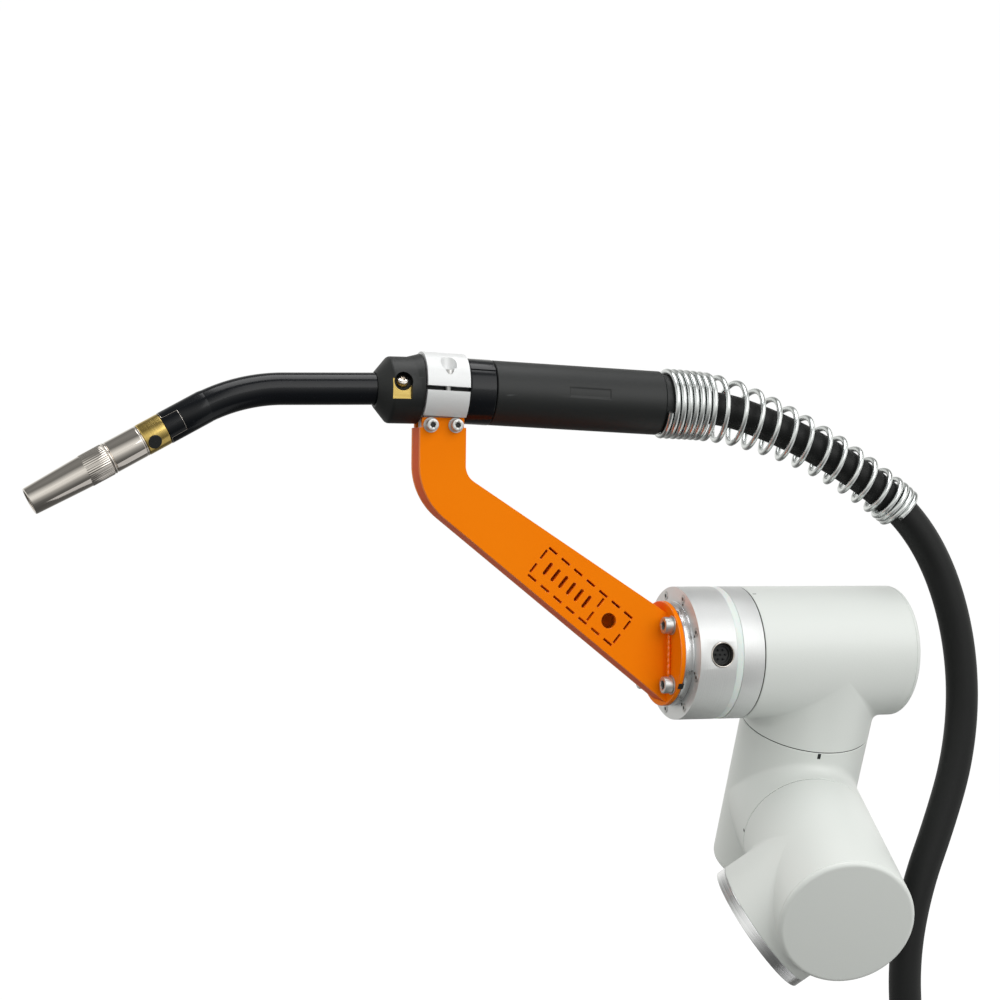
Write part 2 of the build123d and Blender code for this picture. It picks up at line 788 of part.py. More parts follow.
keep(
    turned_nozzle(
        (
            (adapter_start, 0),
            (adapter_start, adapter_radius),
            (nozzle_start - adapter_groove, adapter_radius),
            (nozzle_start - adapter_groove, adapter_radius - adapter_groove / 2),
            (nozzle_start, adapter_radius - adapter_groove / 2),
            (nozzle_start, nozzle_bore_radius - fit_clearance),
            (nozzle_start + nozzle_seat_depth, nozzle_bore_radius - fit_clearance),
            (nozzle_start + nozzle_seat_depth, 0),
        )
    ),
    "nozzle_adapter",
)
keep(
    turned_nozzle(
        (
            (nozzle_start, nozzle_bore_radius),
            (nozzle_start, knurl_radius - nozzle_chamfer),
            (nozzle_start + nozzle_chamfer, knurl_radius),
            (nozzle_start + knurl_length - knurl_chamfer, knurl_radius),
            (nozzle_start + knurl_length, nozzle_shoulder_radius),
            (nozzle_tip - nozzle_chamfer, nozzle_tip_radius),
            (nozzle_tip, nozzle_tip_radius - nozzle_chamfer),
            (nozzle_tip, nozzle_bore_radius),
        )
    ),
    "gas_nozzle",
)
seat_end = nozzle_start + nozzle_seat_depth
keep(disc(nozzle_axis.offset(seat_end), diffuser_radius, diffuser_length), "gas_diffuser")
tip_start = seat_end + diffuser_length
keep(disc(nozzle_axis.offset(tip_start), tip_radius, nozzle_tip - tip_recess - tip_start), "contact_tip")

# Brass block and screw behind the window of the front shell
block_plane = shell_plane.offset(core_radius)
with BuildPart() as neck_clamp_block:
    with BuildSketch(block_plane):
        with Locations(block_centre):
            Rectangle(block_size[0] - 2 * fit_clearance, block_size[1] - 2 * fit_clearance)
        with Locations(window_centre):
            Circle(window_radius - fit_clearance, mode=Mode.SUBTRACT)
    extrude(amount=block_thickness)
keep(neck_clamp_block, "neck_clamp_block")

with BuildPart() as neck_clamp_screw:
    with BuildSketch(block_plane):
        with Locations(window_centre):
            Circle(neck_screw_radius)
    extrude(amount=neck_screw_height)
    with BuildSketch(block_plane.offset(neck_screw_height)):
        with Locations(window_centre):
            RegularPolygon(neck_screw_hex, 6)
    extrude(amount=-neck_screw_hex, mode=Mode.SUBTRACT)
keep(neck_clamp_screw, "neck_clamp_screw")

# Hose: straight runs joined by tangent arcs
hose_start = handle_axis.offset(barrel_end + spigot_length).origin
hose_points = [hose_start, hose_start + handle_dir * hose_straight_out]
hose_points += [torch_point(*point) for point in hose_route]
runs = [b - a for a, b in zip(hose_points[:-1], hose_points[1:])]
turns = [a.get_angle(b) for a, b in zip(runs[:-1], runs[1:])]
bend_radii = [
    arc_share * min(a.length, b.length) / tan(radians(turn / 2))
    for a, b, turn in zip(runs[:-1], runs[1:], turns)
]
with BuildPart() as torch_hose:
    with BuildLine():
        hose_path = FilletPolyline(*hose_points, radius=bend_radii)
    with BuildSketch(Plane(origin=hose_path @ 0, z_dir=hose_path % 0)):
        Circle(hose_radius)
    sweep()
keep(torch_hose, "torch_hose")
hose_length = hose_path.length
print("hose length", round(hose_length, 1), "radii", [round(radius) for radius in bend_radii])
full_volume = pi * hose_radius**2 * hose_length
print("hose volume over section times length", round(torch_hose.part.volume / full_volume, 4))

# Kink spring, as a tapered sleeve of the coil's outer shape
spring_start_radius = spigot_radius + wire + spring_gap
sections = [
    (handle_axis.offset(barrel_end + spring_fit).origin, handle_dir, spring_start_radius),
    (hose_start, handle_dir, spring_start_radius),
]
for distance, gap in spring_stations:
    share = distance / hose_length
    sections.append((hose_path @ share, hose_path % share, hose_radius + wire + gap))
with BuildPart() as hose_spring:
    for thinner, how in ((0.0, Mode.ADD), (wire, Mode.SUBTRACT)):
        for centre, along, radius in sections:
            with BuildSketch(Plane(origin=centre, x_dir=to_viewer, z_dir=along)):
                Circle(radius - thinner)
        loft(mode=how)
keep(hose_spring, "hose_spring")

# Connector on the hose's far end
hose_end_dir = runs[-1].normalized()
connector_axis = Plane(origin=hose_points[-1], x_dir=to_viewer, z_dir=hose_end_dir)
keep(disc(connector_axis, connector_nut_radius, connector_nut_length), "connector_nut")
with BuildPart() as connector_body:
    with BuildSketch(connector_axis.offset(connector_nut_length)):
        Circle(connector_radius)
    extrude(amount=connector_length)
    with BuildSketch(connector_axis.offset(connector_nut_length + connector_length)):
        Circle(connector_pin_radius)
    extrude(amount=connector_pin_length)
keep(connector_body, "connector_body")

os.makedirs("parts", exist_ok=True)
for piece in pieces:
    export_step(piece, f"parts/{piece.label}.step")
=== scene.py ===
# %% [markdown]
# A robot arm's wrist with an arc welding torch.
# The CAD parts come in first and stay where they are, as the frame that carries the looks.
# Every piece below is drawn in millimetres in the same frame, and made metres at the end.

# %% Load the frame
import json
from math import radians

import bmesh
import bpy
import numpy as np
from mathutils import Matrix


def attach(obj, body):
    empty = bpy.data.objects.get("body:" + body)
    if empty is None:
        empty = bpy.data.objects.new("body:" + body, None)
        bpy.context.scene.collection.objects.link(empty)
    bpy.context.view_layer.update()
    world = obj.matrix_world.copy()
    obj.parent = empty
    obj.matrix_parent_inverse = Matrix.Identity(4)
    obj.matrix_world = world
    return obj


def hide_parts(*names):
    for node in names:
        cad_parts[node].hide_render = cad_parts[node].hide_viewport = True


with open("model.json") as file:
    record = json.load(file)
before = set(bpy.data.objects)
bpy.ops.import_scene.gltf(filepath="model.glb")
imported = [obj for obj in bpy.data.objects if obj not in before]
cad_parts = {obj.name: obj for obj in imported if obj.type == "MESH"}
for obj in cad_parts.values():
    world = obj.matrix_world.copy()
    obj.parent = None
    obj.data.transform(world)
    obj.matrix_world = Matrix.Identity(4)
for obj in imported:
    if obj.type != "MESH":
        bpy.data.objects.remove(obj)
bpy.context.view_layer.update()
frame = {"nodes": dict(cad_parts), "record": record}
MM = 0.001

# %% [markdown]
# The three joint axes of the real arm cross at right angles, one housing after the other.
# They could be read off the meshes, but a few angles and cross products are shorter.
# These are the same angles that the CAD part uses, so every piece lands on its neighbour.

# %% Directions and centres


def unit(vector):
    """A vector, or each row of an array of them, brought to length 1."""
    return vector / np.linalg.norm(vector, axis=-1, keepdims=True)


def swing(angle, first, second):
    """First vector turned by an angle in radians towards the second, which is as long and square to it."""
    return np.cos(angle) * first + np.sin(angle) * second


lean, turn, pitch, yaw = np.radians((22.9, 11.8, 45.0, -4.0))
level = np.array((1.0, 0.0, 0.0))
up = np.array((0.0, 0.0, 1.0))
axis_5_up = np.array((0.0, -np.sin(lean), np.cos(lean)))
axis_5_away = np.cross(axis_5_up, level)
axis_4_out = -np.cos(turn) * axis_5_away - np.sin(turn) * level
axis_4_level = np.cos(turn) * level - np.sin(turn) * axis_5_away
forearm_out = -np.cos(pitch) * axis_4_level - np.sin(pitch) * axis_5_up
STEP = 101.5
FLANGE_REACH = 52.0
wrist_centre = STEP * axis_5_up - STEP * axis_4_out - FLANGE_REACH * forearm_out
joint_4_centre = wrist_centre - STEP * axis_5_up
forearm_centre = joint_4_centre + STEP * axis_4_out
torch_run = np.array((np.cos(yaw), np.sin(yaw), 0.0))
to_viewer = np.cross(torch_run, up)
DISC_FACE = 107.9
torch_origin = wrist_centre - DISC_FACE * level
print("wrist centre", np.round(wrist_centre, 2), "joint 4", np.round(joint_4_centre, 2))

# %% Places on the torch's plane


def torch_point(run, rise):
    """Point on the torch's plane, at a run along it and a rise above the flange axis."""
    return torch_origin + run * torch_run + rise * up


slope = radians(-2.2)
handle_dir = swing(slope, torch_run, up)
handle_up = swing(slope, up, -torch_run)
clamp_centre = torch_point(-137.8, 155.3)
nozzle_fall = radians(29.26)
nozzle_dir = swing(nozzle_fall, -torch_run, -up)
neck_corner = torch_point(-257.85, 153.34)
print("clamp centre", np.round(clamp_centre, 2))

# %% [markdown]
# The camera stands where the photograph was taken from: level, a little to the left, through
# a 90 mm lens. Its turning was found by fitting the round rings of the flange.
# The lens sits half a percent off the picture's middle, which a small shift gives back.

# %% Camera
right = np.array((0.9373, -0.3484, 0.0103))
down = np.array((0.0091, -0.0052, -0.9999))
forward = np.cross(right, down)
camera_data = bpy.data.cameras.new("photo_camera")
camera_data.lens = 90.0
camera_data.sensor_width = 36.0
camera_data.shift_y = -0.005
camera_data.clip_end = 50.0
camera = bpy.data.objects.new("photo_camera", camera_data)
bpy.context.scene.collection.objects.link(camera)
# The wrist's centre as the camera sees it: to the right, down and away
DISTANCE_FIT = 1.0085
from_camera = np.array((195.34, 95.21, 1526.19)) * DISTANCE_FIT
camera_place = wrist_centre - from_camera @ np.stack((right, down, forward))
camera_matrix = np.eye(4)
camera_matrix[:3, :3] = np.stack((right, -down, -forward), axis=1)
camera_matrix[:3, 3] = camera_place * MM
camera.matrix_world = Matrix(camera_matrix.tolist())
bpy.context.scene.camera = camera
print("camera", np.round(camera_place, 1))

# %% [markdown]
# Shader maths reads best as plain formulas. A small class wraps a node's output and lets
# Python's operators add the Math nodes, so a mask can be written as (noise - 0.7) * 12.

# %% Sockets with operators


class Signal:
    """Output of a shader node, with arithmetic that adds Math nodes."""

    def __init__(self, tree, socket):
        self.tree = tree
        self.socket = socket

    def math(self, operation, *values):
        """Add one Math node over this signal and the other values."""
        node = self.tree.nodes.new("ShaderNodeMath")
        node.operation = operation
        for place, value in enumerate(values):
            feed(self.tree, node.inputs[place], value)
        return Signal(self.tree, node.outputs[0])

    def __add__(self, other):
        return self.math("ADD", self, other)

    def __sub__(self, other):
        return self.math("SUBTRACT", self, other)

    def __mul__(self, other):
        return self.math("MULTIPLY", self, other)

    def clip(self):
        """The signal held between 0 and 1."""
        return self.math("MINIMUM", self.math("MAXIMUM", self, 0.0), 1.0)


def feed(tree, socket, value):
    """Link a signal to a socket, or set the socket's own value."""
    if isinstance(value, Signal):
        tree.links.new(value.socket, socket)
    else:
        socket.default_value = value


# %% A finish and its nodes


class NodeTree:
    """Node tree with one method that adds any node."""

    def __init__(self, tree):
        self.tree = tree

    def node(self, kind, settings=(), inputs=(), output=0):
        """Add a node of a kind, set its settings first, then feed its sockets."""
        node = self.tree.nodes.new("ShaderNode" + kind)
        for key, value in dict(settings).items():
            if key == "stops":
                while len(node.color_ramp.elements) < len(value):
                    node.color_ramp.elements.new(1.0)
                for stop, (place, color) in zip(node.color_ramp.elements, value):
                    stop.position = place
                    stop.color = color
            else:
                setattr(node, key, value)
        for socket, value in dict(inputs).items():
            feed(self.tree, node.inputs[socket], value)
        return Signal(self.tree, node.outputs[output])

    def split(self, vector):
        """The three parts of a vector."""
        return [self.node("SeparateXYZ", (), {0: vector}, part) for part in range(3)]

    def mix(self, share, first, second):
        """Mix of two colours by a share."""
        settings = {"data_type": "RGBA"}
        inputs = {0: share, 6: first, 7: second}
        return self.node("Mix", settings, inputs, 2)


finishes = {}


class Finish(NodeTree):
    """Material with one Principled shader, kept in finishes under its name."""

    def __init__(self, name, color, roughness, metallic=0.0, **constants):
        self.material = bpy.data.materials.new(name)
        self.material.use_nodes = True
        super().__init__(self.material.node_tree)
        self.shader = self.tree.nodes["Principled BSDF"]
        self.shader.inputs["Base Color"].default_value = (*color, 1.0)
        self.shader.inputs["Roughness"].default_value = roughness
        self.shader.inputs["Metallic"].default_value = metallic
        for socket, value in constants.items():
            self.shader.inputs[socket.replace("_", " ")].default_value = value
        finishes[name] = self

    def place(self):
        """Object coordinates in metres."""
        return self.node("TexCoord", output="Object")

    def surface(self):
        """The piece's own surface coordinates, in metres round it and along it."""
        return self.node("UVMap", {"uv_map": "surface"})

    def noise(self, vector, scale, detail=2.0, roughness=0.5):
        """Noise from 0 to 1 over a vector."""
        inputs = {"Vector": vector, "Scale": scale, "Detail": detail, "Roughness": roughness}
        return self.node("TexNoise", (), inputs)

    def stretched(self, vector, scale):
        """A vector scaled by a different number on each axis."""
        return self.node("Mapping", (), {"Vector": vector, "Scale": scale})

    def streaks(self, across, along, detail=2.0):
        """Noise over the surface coordinates, with its own scale round the piece and along it."""
        return self.noise(self.stretched(self.surface(), (across, along, 1.0)), 1.0, detail)

    def between(self, signal, low, high):
        """A signal from 0 to 1 brought between two numbers."""
        return signal * (high - low) + low

    def set(self, **signals):
        """Feed signals to the shader's sockets."""
        for socket, value in signals.items():
            feed(self.tree, self.shader.inputs[socket.replace("_", " ")], value)

    def color(self, mask, dark, light):
        """Let the colour go from dark to light by a mask."""
        self.set(Base_Color=self.mix(mask, (*dark, 1.0), (*light, 1.0)))

    def roughness(self, mask, low, high):
        """Let the roughness go from low to high by a mask."""
        self.set(Roughness=self.between(mask, low, high))

    def bump(self, height, strength, distance):
        """Raise the surface by a height signal."""
        inputs = {"Height": height, "Strength": strength, "Distance": distance}
        self.set(Normal=self.node("Bump", (), inputs))


# %% [markdown]
# The housings are cast aluminium under a smooth satin paint, a light warm grey.
# A picture could carry it, but noise at two sizes gives the faint orange peel of spray paint
# and the slight unevenness of handled paint, and it has no seams anywhere.

# %% Housing paint
paint = Finish("housing_paint", (0.75, 0.78, 0.755), 0.38, Coat_Weight=0.10, Coat_Roughness=0.25)
spot = paint.place()
cloud = paint.noise(spot, 9.0, 3.0)
peel = paint.noise(spot, 900.0, 1.0)
paint.color(cloud, (0.735, 0.768, 0.745), (0.765, 0.793, 0.768))
paint.set(Roughness=paint.between(cloud, 0.33, 0.45) + (peel - 0.5) * 0.06)
paint.bump(peel, 0.08, 0.0004)

# %% [markdown]
# The rings are turned and then anodised. The tool leaves fine grooves that run round them, and
# these spread a highlight across the grooves only, so a face shows a bright and a dark sector.
# A noise that is short across the grooves and long along them tilts the surface the same way.

# %% Silver anodising
anodised = Finish("silver_anodised", (0.72, 0.73, 0.73), 0.48, 0.75)
groove = anodised.streaks(8.0, 2400.0, 2.0)
grain = anodised.noise(anodised.place(), 2600.0, 2.0, 0.7)
anodised.color(grain, (0.66, 0.67, 0.67), (0.80, 0.81, 0.81))
anodised.roughness(grain, 0.42, 0.56)
anodised.bump(groove, 0.55, 0.0002)

# %% [markdown]
# The clamp has the same colour, but it is blasted with glass beads, which dents it evenly, so
# it looks soft and nearly white from every side.

# %% Blasted clamp
blasted = Finish("blasted_clamp", (0.74, 0.75, 0.755), 0.48, 0.25)
grain = blasted.noise(blasted.place(), 2600.0, 2.0, 0.7)
blasted.color(grain, (0.66, 0.67, 0.675), (0.82, 0.83, 0.835))
blasted.roughness(grain, 0.40, 0.52)
blasted.bump(grain, 0.25, 0.0003)

# %% [markdown]
# The flange boss is turned bright. Fine rings run round it from the tool, so a noise that is
# stretched along the surface coordinates gives streaks that follow the turning.

# %% Turned aluminium
turned_metal = Finish("turned_aluminium", (0.80, 0.81, 0.82), 0.22, 1.0)
streak = turned_metal.streaks(6.0, 2200.0, 3.0)
turned_metal.roughness(streak, 0.12, 0.32)
turned_metal.color(streak, (0.70, 0.71, 0.72), (0.88, 0.89, 0.90))
turned_metal.bump(streak, 0.45, 0.0002)

# %% [markdown]
# The signal ring is a milky plastic band that a lamp lights from inside. It is off here, so
# a little subsurface light and a soft cloud in its colour are enough.

# %% Light ring
milk = Finish("light_ring", (0.78, 0.83, 0.80), 0.30, Subsurface_Weight=0.3, Subsurface_Scale=0.003)
cloud = milk.noise(milk.place(), 60.0, 2.0)
milk.color(cloud, (0.76, 0.82, 0.79), (0.82, 0.86, 0.84))
milk.roughness(cloud, 0.26, 0.36)

# %% [markdown]
# The bracket is welded sheet under orange powder coat. Powder melts into a film with a slow
# waviness. The strips get a darker, redder copy of the coat, painted shade for their shaded sides,
# and the coat pools on rounded edges and on the weld, where it shines. One function mixes these three from
# their colours.

# %% Orange powder coat


def powder_coat(name, dark, light, gloss, **constants):
    """Orange film whose colour goes from dark to light in clouds, with fine waves."""
    film = Finish(name, light, gloss, **constants)
    spot = film.place()
    wave = film.noise(spot, 260.0, 2.0, 0.45)
    cloud = film.noise(spot, 18.0, 3.0)
    film.color(cloud, dark, light)
    film.roughness(wave, 0.8 * gloss, 1.3 * gloss)
    film.bump(wave, 0.10, 0.0006)
    return film


dull = {"IOR": 1.2, "Specular_IOR_Level": 0.12}
powder_coat("orange_powder_coat", (0.99, 0.215, 0.001), (1.0, 0.245, 0.003), 0.30, **dull)
duller = {"IOR": 1.2, "Specular_IOR_Level": 0.06}
shaded_coat = powder_coat("shaded_powder_coat", (0.78, 0.085, 0.001), (0.86, 0.110, 0.002), 0.30, **duller)
clear = {"Coat_Weight": 0.5, "Coat_Roughness": 0.04}
pooled_coat = powder_coat("pooled_powder_coat", (0.95, 0.170, 0.001), (1.0, 0.240, 0.003), 0.10, **clear)

# %% [markdown]
# Screws are zinc plated: a grey metal with a mottled gloss, where the plating has crystals.

# %% Zinc plated steel
zinc = Finish("zinc_steel", (0.56, 0.56, 0.55), 0.40, 0.75)
spot = zinc.place()
mottle = zinc.noise(spot, 700.0, 3.0, 0.6)
zinc.color(mottle, (0.44, 0.44, 0.43), (0.66, 0.66, 0.65))
zinc.roughness(mottle, 0.26, 0.46)
zinc.bump(mottle, 0.10, 0.0002)

# %% [markdown]
# The nozzle is nickel plated and polished. What shows on it is mostly its surroundings, so
# only faint lengthwise streaks and a warm tint belong to the metal.

# %% Bright nickel
nickel = Finish("bright_nickel", (0.70, 0.66, 0.61), 0.06, 1.0)
streak = nickel.streaks(900.0, 8.0, 2.0)
nickel.roughness(streak, 0.03, 0.12)
nickel.color(streak, (0.60, 0.55, 0.50), (0.80, 0.76, 0.71))
nickel.bump(streak, 0.02, 0.0001)

# %% [markdown]
# The handle is moulded in a black plastic with a fine spark-eroded grain. Handling leaves
# pale scuffs, so thin stretched noise lifts the colour in a few short strokes.

# %% Black moulded plastic
moulded = Finish("black_plastic", (0.012, 0.012, 0.013), 0.46, Specular_IOR_Level=0.42)
spot = moulded.place()
grain = moulded.noise(spot, 1500.0, 2.0)
cloud = moulded.noise(spot, 25.0, 3.0)
stroke = moulded.noise(moulded.stretched(spot, (60.0, 60.0, 420.0)), 1.0, 2.0)
scuff = ((stroke - 0.71) * 14.0).clip() * 0.5
moulded.color(scuff, (0.008, 0.0095, 0.0095), (0.07, 0.074, 0.076))
moulded.roughness(cloud, 0.42, 0.56)
moulded.bump(grain, 0.10, 0.0003)

# %% [markdown]
# The neck and the handle's collar are smoother and shine, with a blue cast in the light.

# %% Glossy black
lacquer = {"Specular_IOR_Level": 0.26, "Coat_Weight": 0.04, "Coat_Roughness": 0.08}
gloss = Finish("black_gloss", (0.004, 0.005, 0.007), 0.20, **lacquer)
spot = gloss.place()
cloud = gloss.noise(spot, 40.0, 3.0)
fleck = ((gloss.noise(spot, 900.0, 2.0) - 0.70) * 12.0).clip() * 0.25
gloss.color(fleck, (0.004, 0.005, 0.007), (0.06, 0.065, 0.07))
gloss.roughness(cloud, 0.14, 0.26)
gloss.bump(cloud, 0.05, 0.0010)

# %% Brass and copper
for name, dark, light in (
    ("brass", (0.46, 0.32, 0.08), (0.74, 0.55, 0.19)),
    ("copper", (0.40, 0.17, 0.09), (0.66, 0.34, 0.21)),
):
    yellow = Finish(name, light, 0.22, 1.0)
    streak = yellow.streaks(8.0, 1500.0, 2.0)
    yellow.color(streak, dark, light)
    yellow.roughness(streak, 0.14, 0.30)
    yellow.bump(streak, 0.08, 0.0002)

# %% [markdown]
# The kink spring is galvanised wire. Its zinc is dull in patches and bright in others, along
# the wire, because drawing the wire wipes it that way.

# %% Galvanised wire
wire_metal = Finish("galvanised_wire", (0.70, 0.73, 0.73), 0.26, 1.0)
patch = wire_metal.streaks(400.0, 60.0, 3.0)
wire_metal.color(patch, (0.46, 0.49, 0.49), (0.94, 0.96, 0.95))
wire_metal.roughness(patch, 0.16, 0.38)
wire_metal.bump(patch, 0.08, 0.0002)

# %% [markdown]
# The hose has a smooth rubber cover, matt, with a faint bloom.

# %% Hose rubber
rubber = Finish("hose_rubber", (0.007, 0.0075, 0.0075), 0.50, Specular_IOR_Level=0.25)
spot = rubber.place()
cloud = rubber.noise(spot, 35.0, 3.0)
grain = rubber.noise(spot, 1400.0, 2.0)
rubber.color(cloud, (0.006, 0.0065, 0.0065), (0.011, 0.012, 0.012))
rubber.roughness(cloud, 0.40, 0.58)
rubber.bump(grain, 0.08, 0.0003)
print(len(finishes), "finishes")

# %% [markdown]
# Every CAD part takes the finish that the record names for it. Most are replaced further on.

# %% Dress the CAD parts
for part in frame["record"]["subparts"]:
    mesh = frame["nodes"][part["node"]].data
    mesh.materials.clear()
    mesh.materials.append(finishes[part["material_slot"]].material)

# %% [markdown]
# A new piece is one or more grids of points. Each grid becomes a sheet of four-sided faces,
# the sheets are welded where they meet, and the surface coordinates are lengths in metres.

# %% From grids to pieces
SHARP = 35.0


def lengths(points, axis):
    """Running length along one axis of a grid, on its middle line."""
    middle = points.shape[1 - axis] // 2
    line = points[:, middle] if axis == 0 else points[middle]
    steps = np.linalg.norm(np.diff(line, axis=0), axis=1)
    return np.concatenate(((0.0,), np.cumsum(steps))) * MM


def join_grids(name, grids):
    """Mesh of four-sided faces over point grids, with surface coordinates in metres."""
    places, faces, round_along = [], [], []
    first = 0
    for points in grids:
        rows, columns = points.shape[:2]
        index = first + np.arange(rows * columns).reshape(rows, columns)
        corners = (index[:-1, :-1], index[1:, :-1], index[1:, 1:], index[:-1, 1:])
        faces.append(np.stack(corners, axis=-1).reshape(-1, 4))
        across, along = np.meshgrid(lengths(points, 1), lengths(points, 0))
        places.append(points.reshape(-1, 3) * MM)
        round_along.append(np.stack((across, along), axis=-1).reshape(-1, 2))
        first += rows * columns
    places, faces = np.concatenate(places), np.concatenate(faces)
    round_along = np.concatenate(round_along)
    mesh = bpy.data.meshes.new(name)
    mesh.vertices.add(len(places))
    mesh.vertices.foreach_set("co", places.ravel())
    mesh.loops.add(faces.size)
    mesh.loops.foreach_set("vertex_index", faces.ravel())
    mesh.polygons.add(len(faces))
    mesh.polygons.foreach_set("loop_start", np.arange(0, faces.size, 4))
    mesh.update(calc_edges=True)
    layer = mesh.uv_layers.new(name="surface")
    layer.data.foreach_set("uv", round_along[faces.ravel()].ravel())
    return mesh


def tidy(mesh, sharp=SHARP, join_flat=False):
    """Weld a mesh's doubles, turn its faces outwards and smooth all but sharp edges.

    A mesh from the CAD has its flat triangles joined, so that a Bevel runs along clean edges.
    """
    work = bmesh.new()
    work.from_mesh(mesh)
    bmesh.ops.remove_doubles(work, verts=work.verts, dist=2e-6)
    if join_flat:
        bmesh.ops.dissolve_limit(work, angle_limit=radians(0.5), verts=work.verts, edges=work.edges)
    else:
        bmesh.ops.dissolve_degenerate(work, edges=work.edges, dist=1e-7)
    bmesh.ops.recalc_face_normals(work, faces=work.faces)
    work.to_mesh(mesh)
    work.free()
    mesh.polygons.foreach_set("use_smooth", np.ones(len(mesh.polygons), dtype=bool))
    mesh.set_sharp_from_angle(angle=radians(sharp))


def settle(piece, body, slot, nodes):
    """Link a piece, finish it, let it ride on a body and let it stand for CAD nodes."""
    bpy.context.scene.collection.objects.link(piece)
    piece.data.materials.clear()
    piece.data.materials.append(finishes[slot].material)
    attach(piece, body)
    if nodes:
        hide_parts(*nodes)
    return piece


def build(name, grids, slot, nodes=(), body="tool", sharp=SHARP):
    """Piece from point grids in millimetres."""
    mesh = join_grids(name, grids)
    tidy(mesh, sharp)
    piece = settle(bpy.data.objects.new(name, mesh), body, slot, nodes)
    print(name, len(mesh.polygons), "faces")
    return piece


# %% [markdown]
# Half the object is turned on a lathe, so one function carries a profile round an axis.
# Real turned parts have no knife edges: each corner of the profile becomes a small parabola.

# %% Turned shapes


def rounded(corners, radius, steps=4):
    """Profile with its inner corners replaced by parabolas.

    Each corner C gives (1-t)^2 A + 2t(1-t) C + t^2 B, with A and B a radius away on its sides.
    """
    corners = np.asarray(corners, dtype=float)
    before, corner, after = corners[:-2], corners[1:-1], corners[2:]
    back, ahead = before - corner, after - corner
    back_length = np.linalg.norm(back, axis=1, keepdims=True)
    ahead_length = np.linalg.norm(ahead, axis=1, keepdims=True)
    reach = np.minimum(np.broadcast_to(radius, len(corner))[:, None], 0.45 * back_length)
    reach = np.minimum(reach, 0.45 * ahead_length)
    start = (corner + back / back_length * reach)[:, None]
    end = (corner + ahead / ahead_length * reach)[:, None]
    t = np.linspace(0.0, 1.0, steps + 1)[None, :, None]
    curve = (1 - t) ** 2 * start + 2 * t * (1 - t) * corner[:, None] + t**2 * end
    return np.concatenate((corners[:1], curve.reshape(-1, 2), corners[-1:]))


def circle(along, side, count):
    """Unit vectors round an axis, count of them and the first one again."""
    other = np.cross(along, side)
    angle = np.linspace(0.0, 2 * np.pi, count + 1)
    return np.cos(angle)[:, None] * side + np.sin(angle)[:, None] * other, angle


def lathe(origin, along, side, profile, count=96):
    """Grid of a profile of (distance, radius) turned about an axis.

    A point is the origin, plus the distance along the axis, plus the radius times the
    side vector turned by the column's angle.
    """
    spokes, _ = circle(along, side, count)
    profile = np.asarray(profile, dtype=float)
    return origin + profile[:, 0, None, None] * along + profile[:, 1, None, None] * spokes[None]


def turned(name, axis, profile, slot, nodes=(), count=96, body="tool"):
    """Piece turned about an axis, which is its origin, its direction and a side."""
    return build(name, [lathe(*axis, profile, count)], slot, nodes, body)


def rings(origin, along, spokes, rows):
    """Grid of rows round an axis: origin + h * along + r * spoke, with h or r different at each spoke."""
    every = len(spokes)
    reach = [(np.broadcast_to(h, every)[:, None], np.broadcast_to(r, every)[:, None]) for h, r in rows]
    return np.stack([origin + h * along + r * spokes for h, r in reach])


# %% [markdown]
# Each housing is two tubes of one size that cross at a right angle, with a soft fillet.
# Booleans with a bevel would leave ragged triangles in the valley. A ball that rolls along
# the valley has a closed formula here, so body, fillet and branch are three clean grids.

# %% Housings
RADIUS = 40.0
EDGE = 0.35
COUNT = 160
SEAM = 0.5
CAP_REACH = 45.4
JOINT_6_REACH = 56.5
JOINT_5_REACH = 49.4
JOINT_4_REACH = 50.4
FOREARM_REACH = 46.0
# From an axis to the seam of the joint before it
BACK_5 = STEP - JOINT_5_REACH - SEAM
BACK_4 = STEP - JOINT_4_REACH - SEAM


